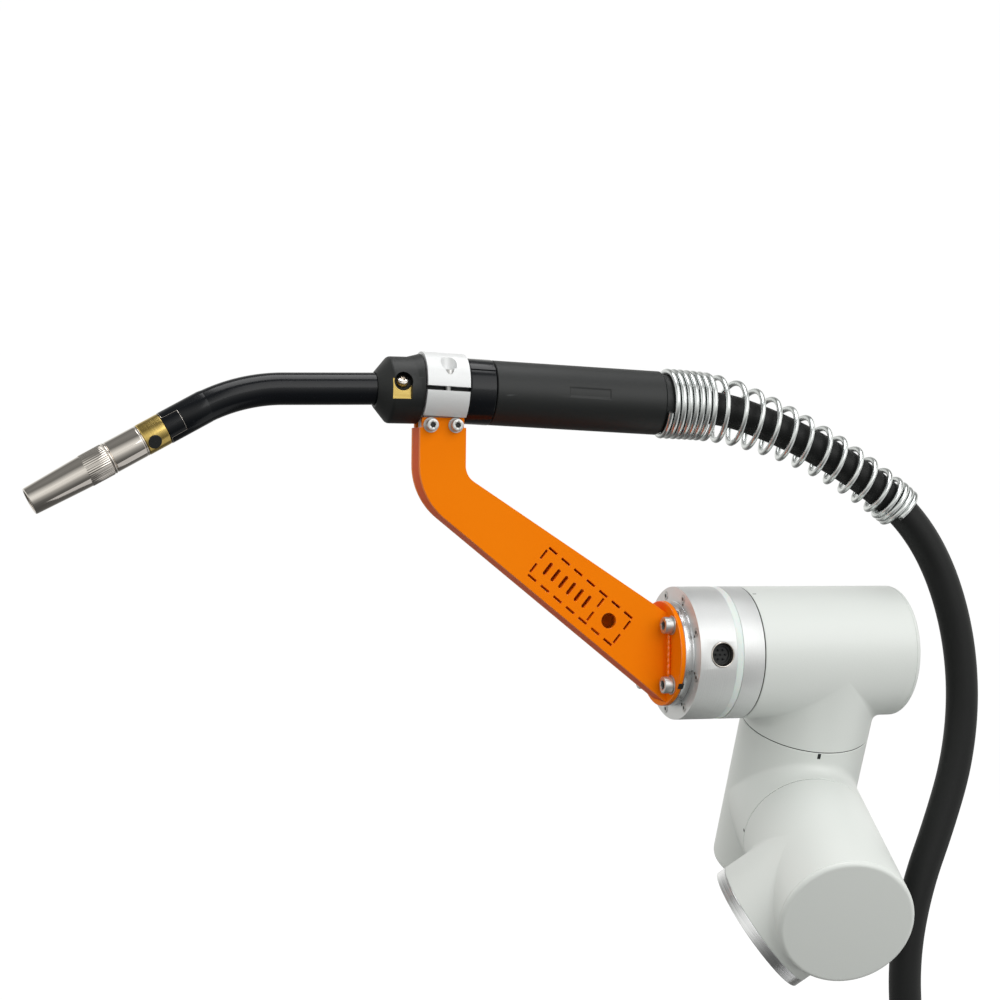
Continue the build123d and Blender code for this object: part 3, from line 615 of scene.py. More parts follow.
def tee(centre, main, branch, high, reach, fillet_low, fillet_high):
    """Grids of a round body and its round branch, joined by a rolling-ball fillet.

    The ball's centre lies a fillet radius off both tubes, at (q cos a, q sin a, q cos a) with
    q the sum of both radii, and the fillet runs on the ball from one contact to the other.
    """
    side = np.cross(main, branch)
    angle = np.linspace(0.0, 2 * np.pi, COUNT + 1)
    cosine, sine = np.cos(angle), np.sin(angle)
    ring = RADIUS * (cosine[:, None] * branch + sine[:, None] * side)
    grids = []
    for sign, end, fillet in ((1.0, high, fillet_high), (-1.0, CAP_REACH, fillet_low)):
        start = (RADIUS + fillet) * np.clip(cosine, 0.0, None)
        share = np.linspace(0.0, 1.0, 6)[:, None]
        height = start + share * (end - EDGE - start)
        wall = ring[None] + sign * height[..., None] * main
        rim = ring * (1 - EDGE / RADIUS) + sign * end * main
        middle = np.broadcast_to(sign * end * main, rim.shape)
        grids.append(centre + np.concatenate((wall, rim[None], middle[None])))
    fillet = np.where(cosine >= 0, fillet_high, fillet_low)[:, None]
    sign = np.where(cosine >= 0, 1.0, -1.0)[:, None]
    c, s = np.abs(cosine)[:, None], sine[:, None]
    q = RADIUS + fillet
    ball = q * c * branch + q * s * side + sign * q * c * main
    first = c * branch + s * side
    last = s * side + sign * c * main
    opening = np.arccos(np.clip(s**2, -1.0, 1.0))
    safe = np.where(opening < 1e-6, 1.0, np.sin(opening))
    t = np.linspace(0.0, 1.0, 9)[:, None, None]
    on_first = np.where(opening < 1e-6, 1 - t, np.sin((1 - t) * opening) / safe)
    on_last = np.where(opening < 1e-6, t, np.sin(t * opening) / safe)
    valley = ball - fillet * (on_first * first + on_last * last)
    tube = RADIUS * (s * side + cosine[:, None] * main)
    start = q * c
    share = np.linspace(0.2, 1.0, 5)[:, None, None]
    wall = tube + (start + share * (reach - EDGE - start)) * branch
    rim = tube * (1 - EDGE / RADIUS) + reach * branch
    middle = np.broadcast_to(reach * branch, rim.shape)
    grids.append(centre + np.concatenate((valley, wall, rim[None], middle[None])))
    return grids


for number, grids in (
    (3, tee(wrist_centre, -level, -axis_5_up, JOINT_6_REACH, JOINT_5_REACH, 5.0, 8.5)),
    (2, tee(joint_4_centre, axis_5_up, axis_4_out, BACK_5, JOINT_4_REACH, 5.0, 6.0)),
    (1, tee(forearm_centre, -axis_4_out, forearm_out, BACK_4, FOREARM_REACH, 5.0, 5.0)),
):
    wrist = f"wrist_{number}"
    build(wrist + "_shell", grids, "housing_paint", [wrist + "_housing"], wrist)

# %% End caps
CAP_HEIGHT = 3.1
CAP_EDGE = 2.6
CAP_RADIUS = RADIUS - 0.05
cap_turn = np.linspace(0.0, np.pi / 2, 9)
cap_rise = CAP_HEIGHT - CAP_EDGE * (1 - np.sin(cap_turn))
cap_edge = np.stack((cap_rise, CAP_RADIUS - CAP_EDGE * (1 - np.cos(cap_turn))), axis=1)
seam_corners = ((0.0, 0.0), (0.0, RADIUS - 0.4), (0.5, CAP_RADIUS), tuple(cap_edge[1]))
cap_profile = np.concatenate((rounded(seam_corners, 0.15, 6), cap_edge[2:], ((CAP_HEIGHT, 0.0),)))
for wrist, centre, along in (
    ("wrist_3", wrist_centre, level),
    ("wrist_2", joint_4_centre, -axis_5_up),
    ("wrist_1", forearm_centre, axis_4_out),
):
    side = to_viewer if wrist == "wrist_3" else level
    axis = (centre + CAP_REACH * along, along, unit(side - side.dot(along) * along))
    turned(wrist + "_lid", axis, cap_profile, "housing_paint", [wrist + "_end_cap"], COUNT, wrist)

# %% [markdown]
# The tool end is a stack of turned rings: a silver ring, the milky signal band, a second
# silver ring and the bright boss that carries the tool.

# %% Tool end rings
tool_dir = -level
face_side = np.array((0.0, -1.0, 0.0))
REAR_LENGTH = 14.2
BAND_LENGTH = 4.3
RING_FACE = 99.1
rear_start = JOINT_6_REACH + SEAM


def from_wrist(distance):
    """Axis of a piece of the tool end, a distance from the wrist's centre."""
    return wrist_centre + distance * tool_dir, tool_dir, face_side


ring_corners = ((0.0, 0.0), (0.0, RADIUS - 0.4), (0.4, RADIUS), (REAR_LENGTH - 0.4, RADIUS))
ring_corners += ((REAR_LENGTH, RADIUS - 0.4), (REAR_LENGTH, 0.0))
ring_profile = rounded(ring_corners, 0.2)
turned("silver_rear_ring", from_wrist(rear_start), ring_profile, "silver_anodised", ["rear_ring"], COUNT)
band_profile = rounded(((0.0, 0.0), (0.0, 39.95), (BAND_LENGTH, 39.95), (BAND_LENGTH, 0.0)), 0.35)
band_start = rear_start + REAR_LENGTH
turned("signal_band", from_wrist(band_start), band_profile, "light_ring", ["light_ring"], COUNT)
boss_corners = ((0.0, 0.0), (0.0, 31.4), (0.5, 31.4), (0.7, 31.0), (1.5, 31.0), (1.8, 31.5), (5.4, 31.5))
boss_corners += ((5.8, 31.1), (5.8, 0.0))
boss_profile = rounded(boss_corners, 0.15)
turned("polished_boss", from_wrist(RING_FACE), boss_profile, "turned_aluminium", ["tool_flange"], COUNT)

# %% [markdown]
# Some CAD parts have the right shape but knife edges, which no painted or cast part has.
# A copy is welded and its edges are rounded by a Bevel, so that they catch the light.

# %% Softened CAD parts


def turned_map(mesh, origin, along):
    """Surface coordinates of a turned mesh: the angle times 30 mm, and the distance less the radius."""
    places = np.empty(len(mesh.vertices) * 3)
    mesh.vertices.foreach_get("co", places)
    reach = places.reshape(-1, 3) / MM - origin
    distance = reach @ along
    side = unit(np.cross(along, up if abs(along[2]) < 0.9 else level))
    across, over = reach @ side, reach @ np.cross(along, side)
    surface = np.stack((30.0 * np.arctan2(over, across), distance - np.hypot(across, over)), axis=1) * MM
    corners = np.empty(len(mesh.loops), dtype=int)
    mesh.loops.foreach_get("vertex_index", corners)
    mesh.uv_layers.new(name="surface").data.foreach_set("uv", surface[corners].ravel())


def softened(node, radius, slot, axis=None, segments=3, body="tool"):
    """Copy of a CAD part with rounded edges, in place of it."""
    mesh = frame["nodes"][node].data.copy()
    mesh.name = node + "_soft"
    tidy(mesh, join_flat=True)
    if axis:
        turned_map(mesh, *axis)
    piece = settle(bpy.data.objects.new(node + "_soft", mesh), body, slot, [node])
    bevel = piece.modifiers.new("rounded_edges", "BEVEL")
    bevel.width = radius * MM
    bevel.segments = segments
    bevel.limit_method = "ANGLE"
    bevel.angle_limit = radians(SHARP)
    bevel.harden_normals = True
    print(piece.name, len(mesh.polygons), "faces")
    return piece


softened("front_ring", 0.4, "silver_anodised", (wrist_centre, tool_dir))
for plate, edge in (("bracket_disc", 0.8), ("bracket_near_plate", 0.5), ("bracket_far_plate", 0.5)):
    piece = softened(plate, edge, "orange_powder_coat")
    piece.data.materials.append(pooled_coat.material)
    piece.modifiers["rounded_edges"].material = 1
# The strips take the darker, redder copy of the coat: painted shade for their shaded sides.
for strip in ("bracket_outer_strip", "bracket_inner_strip"):
    softened(strip, 0.3, "orange_powder_coat").data.materials[0] = shaded_coat.material
for half in ("clamp_upper_half", "clamp_lower_half"):
    softened(half, 0.4, "silver_anodised").data.materials[0] = blasted.material
softened("torch_front_shell", 0.4, "black_plastic")
softened("ring_plug", 0.3, "black_plastic")
for node, body, axis in (
    ("forearm_flange", "wrist_1", (forearm_centre, forearm_out)),
    ("joint_4_hub", "wrist_1", (joint_4_centre, axis_4_out)),
    ("joint_5_hub", "wrist_2", (wrist_centre, axis_5_up)),
    ("joint_6_hub", "wrist_3", (wrist_centre, tool_dir)),
):
    softened(node, 0.3, "turned_aluminium", axis, 2, body)

# %% [markdown]
# The hose is one smooth curve through a few points, as a real hose settles. It leaves the
# handle straight, bends over the arm and hangs down to its connector.

# %% Hose
BARREL_END = 134.8
SPIGOT_END = 149.0
HOSE_RADIUS = 10.0
STRAIGHT_OUT = 25.0
hose_start = clamp_centre + SPIGOT_END * handle_dir
hose_places = [hose_start, hose_start + STRAIGHT_OUT * handle_dir]
hose_route = (
    (66.0, 139.6),
    (101.0, 124.8),
    (133.5, 106.0),
    (162.5, 84.0),
    (183.0, 54.0),
    (196.5, 15.0),
    (201.5, -27.0),
    (197.5, -69.0),
    (185.5, -108.0),
    (171.5, -145.0),
    (163.5, -184.0),
    (163.5, -222.0),
    (168.0, -258.0),
)
hose_places += [torch_point(*place) for place in hose_route]
hose_curve = bpy.data.curves.new("rubber_hose", "CURVE")
hose_curve.dimensions = "3D"
spline = hose_curve.splines.new("NURBS")
spline.points.add(len(hose_places) - 1)
for point, place in zip(spline.points, hose_places):
    point.co = (*(place * MM), 1.0)
spline.order_u = 3
spline.use_endpoint_u = True
hose_curve.resolution_u = 12
hose = bpy.data.objects.new("rubber_hose", hose_curve)
bpy.context.scene.collection.objects.link(hose)
centre_mesh = bpy.data.meshes.new_from_object(hose)
hose_line = np.array([vertex.co[:] for vertex in centre_mesh.vertices]) / MM
bpy.data.meshes.remove(centre_mesh)
hose_length = np.linalg.norm(np.diff(hose_line, axis=0), axis=1).sum()
print("hose length", round(hose_length, 1))

# %% [markdown]
# At the hose's far end a fluted nut holds a turned brass plug. The flutes are a cosine in the
# nut's radius, cut off where the grip between them stays round.

# %% Connector
hose_end = hose_line[-1]
end_dir = unit(hose_line[-1] - hose_line[-2])
plug = softened("connector_body", 0.5, "brass", (hose_end, end_dir))
FLUTED = 14
spokes, angle = circle(end_dir, to_viewer, FLUTED * 12)
groove = 0.8 * np.clip(0.4 - np.cos(FLUTED * angle), 0.0, 1.0)
rows = ((0.0, 0.0, 0.0), (0.0, 14.2, 0.0), (3.0, 16.6, 0.0), (4.0, 17.4, 0.3), (5.0, 17.4, 1.0))
rows += ((21.0, 17.4, 1.0), (22.0, 17.4, 0.3), (25.2, 17.0, 0.0), (26.0, 16.2, 0.0), (26.0, 0.0, 0.0))
nut = rings(hose_end, end_dir, spokes, [(h, r - share * groove) for h, r, share in rows])
grip = build("connector_grip", [nut], "black_plastic", ["connector_nut"])

# %% Hose surface
hose_curve.bevel_depth = HOSE_RADIUS * MM
hose_curve.bevel_resolution = 8
hose_curve.use_fill_caps = True
hose_curve.materials.append(finishes["hose_rubber"].material)
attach(hose, "tool")
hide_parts("torch_hose")
tuple(hose_start * MM)

# %% [markdown]
# The kink spring is one wire wound round the hose: tight at both ends, open between.
# A screw modifier can't change its pitch or follow a bend, so the coil is a helix worked out
# along the hose's own line. Each turn's place on the line was measured on the near side.

# %% Kink spring
WIRE = 3.4
TURN_FACES = 40
COIL_START = 134.0


def along_line(line, distance):
    """Places and directions at distances along a line of points."""
    steps = np.linalg.norm(np.diff(line, axis=0), axis=1)
    running = np.concatenate(((0.0,), np.cumsum(steps)))
    places = np.stack([np.interp(distance, running, line[:, part]) for part in range(3)], axis=1)
    return places, unit(np.gradient(places, axis=0))


def tube(places, heading, side, radius, count=24, ends=True):
    """Grid of a round tube along places: place + radius (cos a * side + sin a * third axis)."""
    side = unit(side - (side * heading).sum(axis=1, keepdims=True) * heading)
    third = np.cross(heading, side)
    angle = np.linspace(0.0, 2 * np.pi, count + 1)[None, :, None]
    radius = np.broadcast_to(radius, len(places))[:, None, None]
    ring = places[:, None] + radius * (np.cos(angle) * side[:, None] + np.sin(angle) * third[:, None])
    if not ends:
        return ring
    first = np.broadcast_to(places[0], ring[:1].shape)
    last = np.broadcast_to(places[-1], ring[-1:].shape)
    return np.concatenate((first, ring, last))


coil_line = np.concatenate(((clamp_centre + COIL_START * handle_dir)[None], hose_line))
tight = 2.85 + 3.95 * np.arange(8)
opened = (38.8, 51.15, 62.25, 73.95, 86.05, 97.45, 111.05, 122.05, 134.35, 145.25, 156.85)
near_places = np.concatenate((tight, opened, (165.05, 169.05, 172.55, 176.05)))
turns = np.arange(len(near_places)) + 0.25
winding = np.arange(0.30, turns[-1] + 0.4, 1.0 / TURN_FACES)
distance = np.interp(winding, turns, near_places)
distance = np.convolve(np.pad(distance, 5, mode="edge"), np.full(11, 1 / 11), mode="valid")
outer_places = (0.0, 15.0, 33.0, 51.05, 69.05, 87.05, 105.05, 123.05, 143.05, 177.0)
outer_radii = (21.1, 21.1, 20.7, 19.8, 18.3, 16.9, 15.9, 15.3, 14.9, 14.6)
coil_radius = np.interp(distance, outer_places, outer_radii) - 0.5 * WIRE
centre, heading = along_line(coil_line, distance)
upward = np.cross(to_viewer, heading)
sag = np.interp(distance, (30.0, 60.0, 150.0, 174.0), (0.0, 0.8, 0.8, 0.0))
centre = centre - sag[:, None] * upward
spoke = swing(2 * np.pi * winding[:, None], upward, to_viewer)
coil_places = centre + coil_radius[:, None] * spoke
coil = tube(coil_places, unit(np.gradient(coil_places, axis=0)), spoke, 0.5 * WIRE, 12)
build("kink_spring_coil", [coil], "galvanised_wire", ["hose_spring"])

# %% [markdown]
# The swan neck is a bent tube under a glossy black sleeve. The sleeve's last stretch is cut
# like castle walls: two tongues run on to the brass ring, with the insulator bare between.

# %% Swan neck
NECK_RADIUS = 9.4
BEND_RADIUS = 105.0
SLEEVE_END = 27.2
neck_start = torch_point(-160.0, 155.46)
neck_reach = np.linalg.norm(neck_corner - neck_start)
neck_dir = unit(neck_corner - neck_start)
bend = np.arccos(neck_dir.dot(nozzle_dir))
tangent = BEND_RADIUS * np.tan(bend / 2)
hinge = neck_corner + unit(nozzle_dir - neck_dir) * BEND_RADIUS / np.cos(bend / 2)
bend_angle = np.linspace(0.0, bend, 33)[:, None]
first_spoke = neck_corner - tangent * neck_dir - hinge
arc = hinge + swing(bend_angle, first_spoke, BEND_RADIUS * neck_dir)
straight = neck_start + np.linspace(0.0, neck_reach - tangent, 8)[:-1, None] * neck_dir
neck_line = np.concatenate((straight, arc, (neck_corner + SLEEVE_END * nozzle_dir)[None]))
neck_side = np.broadcast_to(to_viewer, neck_line.shape)
neck = tube(neck_line, unit(np.gradient(neck_line, axis=0)), neck_side, NECK_RADIUS, 64)
build("swan_neck_tube", [neck], "black_gloss", ["swan_neck"])

# %% Castellated sleeve and insulator
SLEEVE_START = 20.0
TONGUE_ROOT = 37.8
TONGUE_LENGTH = 9.8
nozzle_up = np.cross(to_viewer, -nozzle_dir)
nozzle_axis = (neck_corner, nozzle_dir, nozzle_up)
core_corners = ((SLEEVE_END - 1.0, 0.0), (SLEEVE_END - 1.0, 9.3), (48.0, 9.3), (48.2, 9.1), (48.2, 0.0))
turned("insulator_core", nozzle_axis, rounded(core_corners, 0.1), "black_gloss", ["neck_insulator"])
spokes, angle = circle(nozzle_dir, to_viewer, 360)
from_near = np.abs((angle + np.pi) % (2 * np.pi) - np.pi)
from_near = np.minimum(from_near, np.pi - from_near)
tongue = np.clip((from_near - radians(40.0)) / radians(1.5), 0.0, 1.0)
edge = TONGUE_ROOT + tongue * TONGUE_LENGTH
rows = [(SLEEVE_START, 9.0), (SLEEVE_START, 9.38), (SLEEVE_START + 2.0, 9.6), (edge - 0.25, 9.6)]
rows += [(edge - 0.05, 9.5), (edge, 9.25), (edge, 9.0), (SLEEVE_START, 9.0)]
build("sleeve_tongues", [rings(neck_corner, nozzle_dir, spokes, rows)], "black_gloss")
# A thin bright nickel thread runs along the tongues' edge: a painted highlight for the light that the edge
# catches.
edge_line = neck_corner + edge[:, None] * nozzle_dir + 9.5 * spokes
edge_highlight_wire = tube(edge_line, unit(np.gradient(edge_line, axis=0)), spokes, 0.12, 8, ends=False)
build("sleeve_edge_highlight", [edge_highlight_wire], "bright_nickel")

# %% [markdown]
# Below the sleeve come turned metal pieces: a brass ring, a nickel adapter with a spring ring
# in its groove, and the gas nozzle with a straight knurl for the fingers and a long taper.

# %% Brass ring and adapter
brass_corners = ((48.2, 0.0), (48.2, 9.1), (48.5, 9.4), (61.7, 9.4), (62.1, 9.1), (62.1, 0.0))
turned("brass_collar", nozzle_axis, rounded(brass_corners, 0.15), "brass", ["neck_ring"])
adapter_corners = ((62.1, 0.0), (62.1, 9.0), (62.4, 9.3), (63.0, 9.3), (63.2, 9.15), (63.5, 9.15))
adapter_corners += ((63.7, 9.3), (82.2, 9.3), (82.7, 8.7), (84.1, 8.6), (84.1, 0.0))
turned("nickel_adapter", nozzle_axis, rounded(adapter_corners, 0.12), "bright_nickel", ["nozzle_adapter"])
spokes, _ = circle(nozzle_dir, nozzle_up, 96)
section = np.linspace(0.0, 2 * np.pi, 17)[:, None, None]
ring_distance, ring_radius = 83.5 + 0.8 * np.sin(section), 8.75 + 0.8 * np.cos(section)
spring_ring = neck_corner + ring_distance * nozzle_dir + ring_radius * spokes[None]
build("spring_ring", [spring_ring], "bright_nickel")

# %% Gas nozzle
KNURLS = 46
knurl_angle = np.linspace(0.0, 2 * np.pi, KNURLS * 6 + 1)
ridge = np.abs((knurl_angle * KNURLS / (2 * np.pi)) % 1.0 - 0.5) * 2.0
ridge = np.clip(ridge * 1.3 - 0.15, 0.0, 1.0)
spokes, _ = circle(nozzle_dir, nozzle_up, KNURLS * 6)
rows = ((84.1, 8.9, 0.0), (84.5, 9.35, 0.0), (84.9, 9.35, 0.22), (98.3, 9.35, 0.22), (98.8, 9.32, 0.0))
rows += ((99.0, 9.32, 0.0), (105.0, 9.17, 0.0), (120.0, 8.63, 0.0), (133.2, 8.14, 0.0), (133.8, 8.02, 0.0))
rows += ((134.1, 7.75, 0.0), (134.2, 7.3, 0.0), (134.1, 6.8, 0.0), (133.6, 6.45, 0.0), (132.0, 6.4, 0.0))
rows += ((92.0, 6.4, 0.0), (90.0, 6.3, 0.0))
nozzle = rings(neck_corner, nozzle_dir, spokes, [(h, r + share * ridge) for h, r, share in rows])
back = rings(neck_corner, nozzle_dir, spokes, [(84.1, 6.3)])
nozzle = np.concatenate((back, nozzle, back))
build("gas_nozzle_shell", [nozzle], "bright_nickel", ["gas_nozzle"], sharp=30.0)

# %% [markdown]
# The handle is a long matt barrel with a glossy collar next to the clamp. A shallow
# rectangular recess on the near side once held a label. Its walls are steep steps of the
# grid, which stays one surface.

# %% Handle barrel
spokes, angle = circle(handle_dir, handle_up, 240)
near_angle = np.arctan2(spokes @ to_viewer, spokes @ handle_up)
BARREL_RADIUS = 19.1
RECESS_DEPTH = 0.45
wall = 0.35


def step(value, low, high, soft):
    """1 between two limits, falling to 0 over a soft width outside them."""
    return np.clip((value - low) / soft, 0.0, 1.0) * np.clip((high - value) / soft, 0.0, 1.0)


recess = dict(start=73.4, end=99.0, low=radians(73.0), high=radians(91.0))
stations = np.concatenate(
    (
        (29.5, 29.5, 30.0),
        np.linspace(40.0, recess["start"], 5),
        recess["start"] + np.array((wall, 6.0, 13.0, 19.0)),
        (recess["end"] - wall, recess["end"]),
        np.linspace(105.0, BARREL_END - 1.0, 5),
        (BARREL_END, BARREL_END, SPIGOT_END, SPIGOT_END),
    )
)
radii = np.full(len(stations), BARREL_RADIUS)
radii[0] = 0.0
radii[1] = BARREL_RADIUS - 0.5
radii[-4:] = (18.2, 17.3, 17.3, 0.0)
depth = step(stations, recess["start"], recess["end"], wall)[:, None]
depth = depth * step(near_angle, recess["low"], recess["high"], radians(1.6))[None]
swell = radii[:, None] - RECESS_DEPTH * depth
barrel = clamp_centre + stations[:, None, None] * handle_dir + swell[..., None] * spokes[None]
build("handle_grip", [barrel], "black_plastic", ["handle_barrel"])

# %% Handle collar
collar_corners = ((13.2, 14.0), (13.2, 18.7), (13.8, 19.3), (28.6, 19.3), (29.0, 18.9), (29.0, 14.0))
collar_profile = rounded((*collar_corners, collar_corners[0]), 0.2)
handle_axis = (clamp_centre, handle_dir, handle_up)
turned("glossy_collar", handle_axis, collar_profile, "black_gloss", ["handle_collar"], 120)


def plate_on_tube(origin, along, spoke, span, half_angle, radii):
    """Grid of a thin closed plate on a tube.

    A point is the origin + s * along + r * (cos a * spoke + sin a * third). The section goes
    round the four corners of the span s and the radii r, at each angle a.
    """
    spoke = unit(spoke - spoke.dot(along) * along)
    angle = np.linspace(-half_angle, half_angle, 7)[:, None]
    leaning = swing(angle, spoke, np.cross(along, spoke))
    s = np.array(span)[[0, 0, 1, 1, 0]][None, :, None]
    r = np.array(radii)[[0, 1, 1, 0, 0]][None, :, None]
    grid = origin + s * along + r * leaning[:, None]
    first = np.broadcast_to(grid[0, :4].mean(axis=0), grid[:1].shape)
    last = np.broadcast_to(grid[-1, :4].mean(axis=0), grid[-1:].shape)
    return np.concatenate((first, grid, last))


bar_spoke = swing(radians(47.7), handle_up, to_viewer)
bar = plate_on_tube(clamp_centre, handle_dir, bar_spoke, (13.7, 28.5), radians(3.0), (19.0, 19.9))
build("collar_bar", [bar], "black_gloss")

# %% [markdown]
# Socket head screws hold everything. The head is a turned cap whose inside goes over from a
# round chamfer into a hexagon, so one grid does it: each row has its own radius at each angle.

# %% Screws


def hexagon(angle, half_width):
    """Radius of a hexagon at an angle: half its width / cos(angle from the nearest flat's middle)."""
    return half_width / np.cos((angle % (np.pi / 3)) - np.pi / 6)


def cap_screw(place, along, side, radius, height, key, depth):
    """Grid of a socket head screw that stands on a place, with a hexagon socket 2 * key wide."""
    spokes, angle = circle(along, side, 72)
    outline = hexagon(angle, key)
    edge = 0.12 * radius
    rows = (
        (0.0, 0.0),
        (0.0, radius - 0.3 * edge),
        (0.3 * edge, radius),
        (height - edge, radius),
        (height - 0.3 * edge, radius - 0.3 * edge),
        (height, radius - edge),
        (height, 1.22 * key),
        (height - 0.12 * key, outline),
        (height - depth, outline),
        (height - depth - 0.25 * key, 0.0),
    )
    return rings(place, along, spokes, rows)


def key_shade_disc(place, along, side, key, height):
    """Grid of a thin dark disc at the bottom of a screw's hexagon key: painted shade for the deep socket."""
    profile = ((height, 0.0), (height, 0.98 * key), (height + 0.1, 0.98 * key), (height + 0.1, 0.0))
    return lathe(place, along, side, profile, 24)


def washer(place, along, side, inner, outer, thickness):
    """Grid of a flat ring with broken edges."""
    soft = 0.2 * thickness
    profile = (
        (0.0, inner),
        (0.0, outer - soft),
        (soft, outer),
        (thickness - soft, outer),
        (thickness, outer - soft),
        (thickness, inner),
        (0.0, inner),
    )
    return lathe(place, along, side, profile, 72)


BOLT_CIRCLE = 50.0
WASHER = 0.8
TANG_SPACING = 15.0
tang_middle = (-138.7, 134.4)
face = wrist_centre + DISC_FACE * tool_dir
flange_grids, key_shade_grids = [], []
for quarter in range(4):
    spoke = swing(radians(45.0 + 90.0 * quarter), face_side, up)
    place = face + 0.5 * BOLT_CIRCLE * spoke
    flange_grids.append(washer(place, tool_dir, spoke, 3.1, 5.8, WASHER))
    place = place + WASHER * tool_dir
    flange_grids.append(cap_screw(place, tool_dir, spoke, 5.0, 5.2, 2.5, 3.0))
    key_shade_grids.append(key_shade_disc(place, tool_dir, spoke, 2.5, 3.6))
build("flange_cap_screws", flange_grids, "zinc_steel", ["flange_bolts"])

tang_grids = []
for run in (-0.5 * TANG_SPACING, 0.5 * TANG_SPACING):
    middle = torch_point(tang_middle[0] + run, tang_middle[1])
    place = middle + 10.0 * to_viewer
    tang_grids.append(washer(place, to_viewer, up, 2.1, 4.5, WASHER))
    tang_grids.append(washer(place + WASHER * to_viewer, to_viewer, up, 2.1, 3.9, WASHER))
    place = place + 2 * WASHER * to_viewer
    tang_grids.append(cap_screw(place, to_viewer, swing(0.4 * run, torch_run, up), 3.5, 4.0, 1.5, 2.2))
    key_shade_grids.append(key_shade_disc(place, to_viewer, up, 1.5, 2.8))
    spokes, angle = circle(-to_viewer, torch_run, 72)
    nut = hexagon(angle, 3.5)
    rows = ((0.0, 0.0), (0.0, 3.5), (0.25, nut), (2.95, nut), (3.2, 3.5), (3.2, 2.0), (2.4, 1.9), (2.4, 0.0))
    tang_grids.append(rings(middle - 10.0 * to_viewer, -to_viewer, spokes, rows))
build("tab_screws", tang_grids, "zinc_steel", ["tang_bolts"])

clamp_grids = []
for offset in (-17.0, 17.0):
    place = clamp_centre + offset * to_viewer
    shaft = ((-9.0, 0.0), (-9.0, 1.4), (-8.8, 1.5), (8.0, 1.5), (8.0, 0.0))
    clamp_grids.append(lathe(place, handle_up, to_viewer, shaft, 32))
    clamp_grids.append(cap_screw(place + 8.0 * handle_up, handle_up, to_viewer, 2.6, 3.0, 1.25, 1.6))
build("clamp_cap_screws", clamp_grids, "zinc_steel", ["clamp_screws"])

# %% [markdown]
# Eight small screws hold the ring's face, each with a dowel hole beside it. They sit in
# shallow countersinks, so each is a dish and a head. Their angles were measured in the photo.

# %% Face screws
ring_face = wrist_centre + RING_FACE * tool_dir
screw_turns = (67.5, 23.5, -20.5, -62.0, 108.0, -106.0, 153.0, -152.0)
hole_turns = (66.0, 21.0, -18.0, -66.0, 114.0, -111.0, 158.0, -157.0)
# Each dowel hole is a dark disc set into the face: painted shade in place of the hole's depth.
hole_shade_profile = ((-0.3, 0.0), (-0.3, 0.95), (0.06, 0.95), (0.05, 0.8), (0.0, 0.0))
face_grids, hole_shade_grids = [], []
for screw_turn, hole_turn in zip(screw_turns, hole_turns):
    spoke = swing(radians(screw_turn), face_side, up)
    place = ring_face + 35.7 * spoke
    face_grids.append(cap_screw(place - 0.1 * tool_dir, tool_dir, spoke, 2.2, 0.5, 1.1, 0.58))
    face_grids.append(washer(place + 0.02 * tool_dir, tool_dir, spoke, 2.3, 2.8, 0.1))
    key_shade_grids.append(key_shade_disc(place, tool_dir, spoke, 1.1, 0.15))
    hole_spoke = swing(radians(hole_turn), face_side, up)
    hole_shade_grids.append(lathe(ring_face + 32.7 * hole_spoke, tool_dir, spoke, hole_shade_profile, 24))
build("face_screws", face_grids, "zinc_steel")
build("dowel_hole_shades", hole_shade_grids, "black_plastic")
# The dark discs at the bottom of the screws' hexagon keys are painted shade.
build("key_painted_shade", key_shade_grids, "black_plastic")

# %% [markdown]
# The round socket on the near side takes a tool cable: a nickel shell pressed into the ring,
# a black insert set back in it, and pins in a ring round a middle one.

# %% Cable socket
socket_out = swing(radians(2.0), face_side, up)
socket_up = np.cross(socket_out, level)
socket_place = wrist_centre + 84.95 * tool_dir + RADIUS * socket_out
socket_axis = (socket_place, socket_out, level)
shell_corners = ((-10.0, 7.55), (-0.9, 7.55), (0.0, 7.5), (0.25, 7.2), (0.2, 6.9), (-0.9, 6.35), (-10.0, 6.3))
shell_profile = rounded((*shell_corners, shell_corners[0]), 0.1)
turned("socket_sleeve", socket_axis, shell_profile, "bright_nickel", ["socket_shell"], 72)
insert_corners = ((-10.0, 0.0), (-10.0, 6.25), (-3.0, 6.25), (-2.7, 5.9), (-2.7, 5.2))
insert_corners += ((-3.8, 5.0), (-3.8, 0.0))
turned("socket_core", socket_axis, rounded(insert_corners, 0.15), "black_plastic", ["socket_insert"], 72)
pin_profile = ((-0.2, 0.0), (0.0, 0.6), (1.2, 0.55), (1.4, 0.3), (1.45, 0.0))
pin_places = [3.1 * swing(radians(60.0 * pin), level, socket_up) for pin in range(6)] + [np.zeros(3)]
insert_floor = socket_place - 3.8 * socket_out
pin_grids = [lathe(insert_floor + place, socket_out, level, pin_profile, 20) for place in pin_places]
build("socket_pins", pin_grids, "black_gloss")

# %% [markdown]
# A dark ring lies in each joint's seam: painted shade that keeps the gap dark. It is a flat ring
# just under the surface, thinner than the gap, so that it never rubs.

# %% Seam shade rings
seam_shade_profile = ((0.06, 31.0), (0.06, 39.7), (0.44, 39.7), (0.44, 31.0), (0.06, 31.0))
for name, body, origin, along in (
    ("joint_6_seam_shade", "wrist_3", wrist_centre + JOINT_6_REACH * tool_dir, tool_dir),
    ("joint_5_seam_shade", "wrist_2", joint_4_centre + BACK_5 * axis_5_up, axis_5_up),
    ("joint_4_seam_shade", "wrist_1", forearm_centre - BACK_4 * axis_4_out, -axis_4_out),
):
    side = unit(np.cross(along, level if abs(along[0]) < 0.9 else up))
    turned(name, (origin, along, side), seam_shade_profile, "hose_rubber", (), COUNT, body)

# %% [markdown]
# Dark index marks at the seams show where each joint's zero is. They are thin plates that
# follow the tube, because a flat plate would float at its ends.

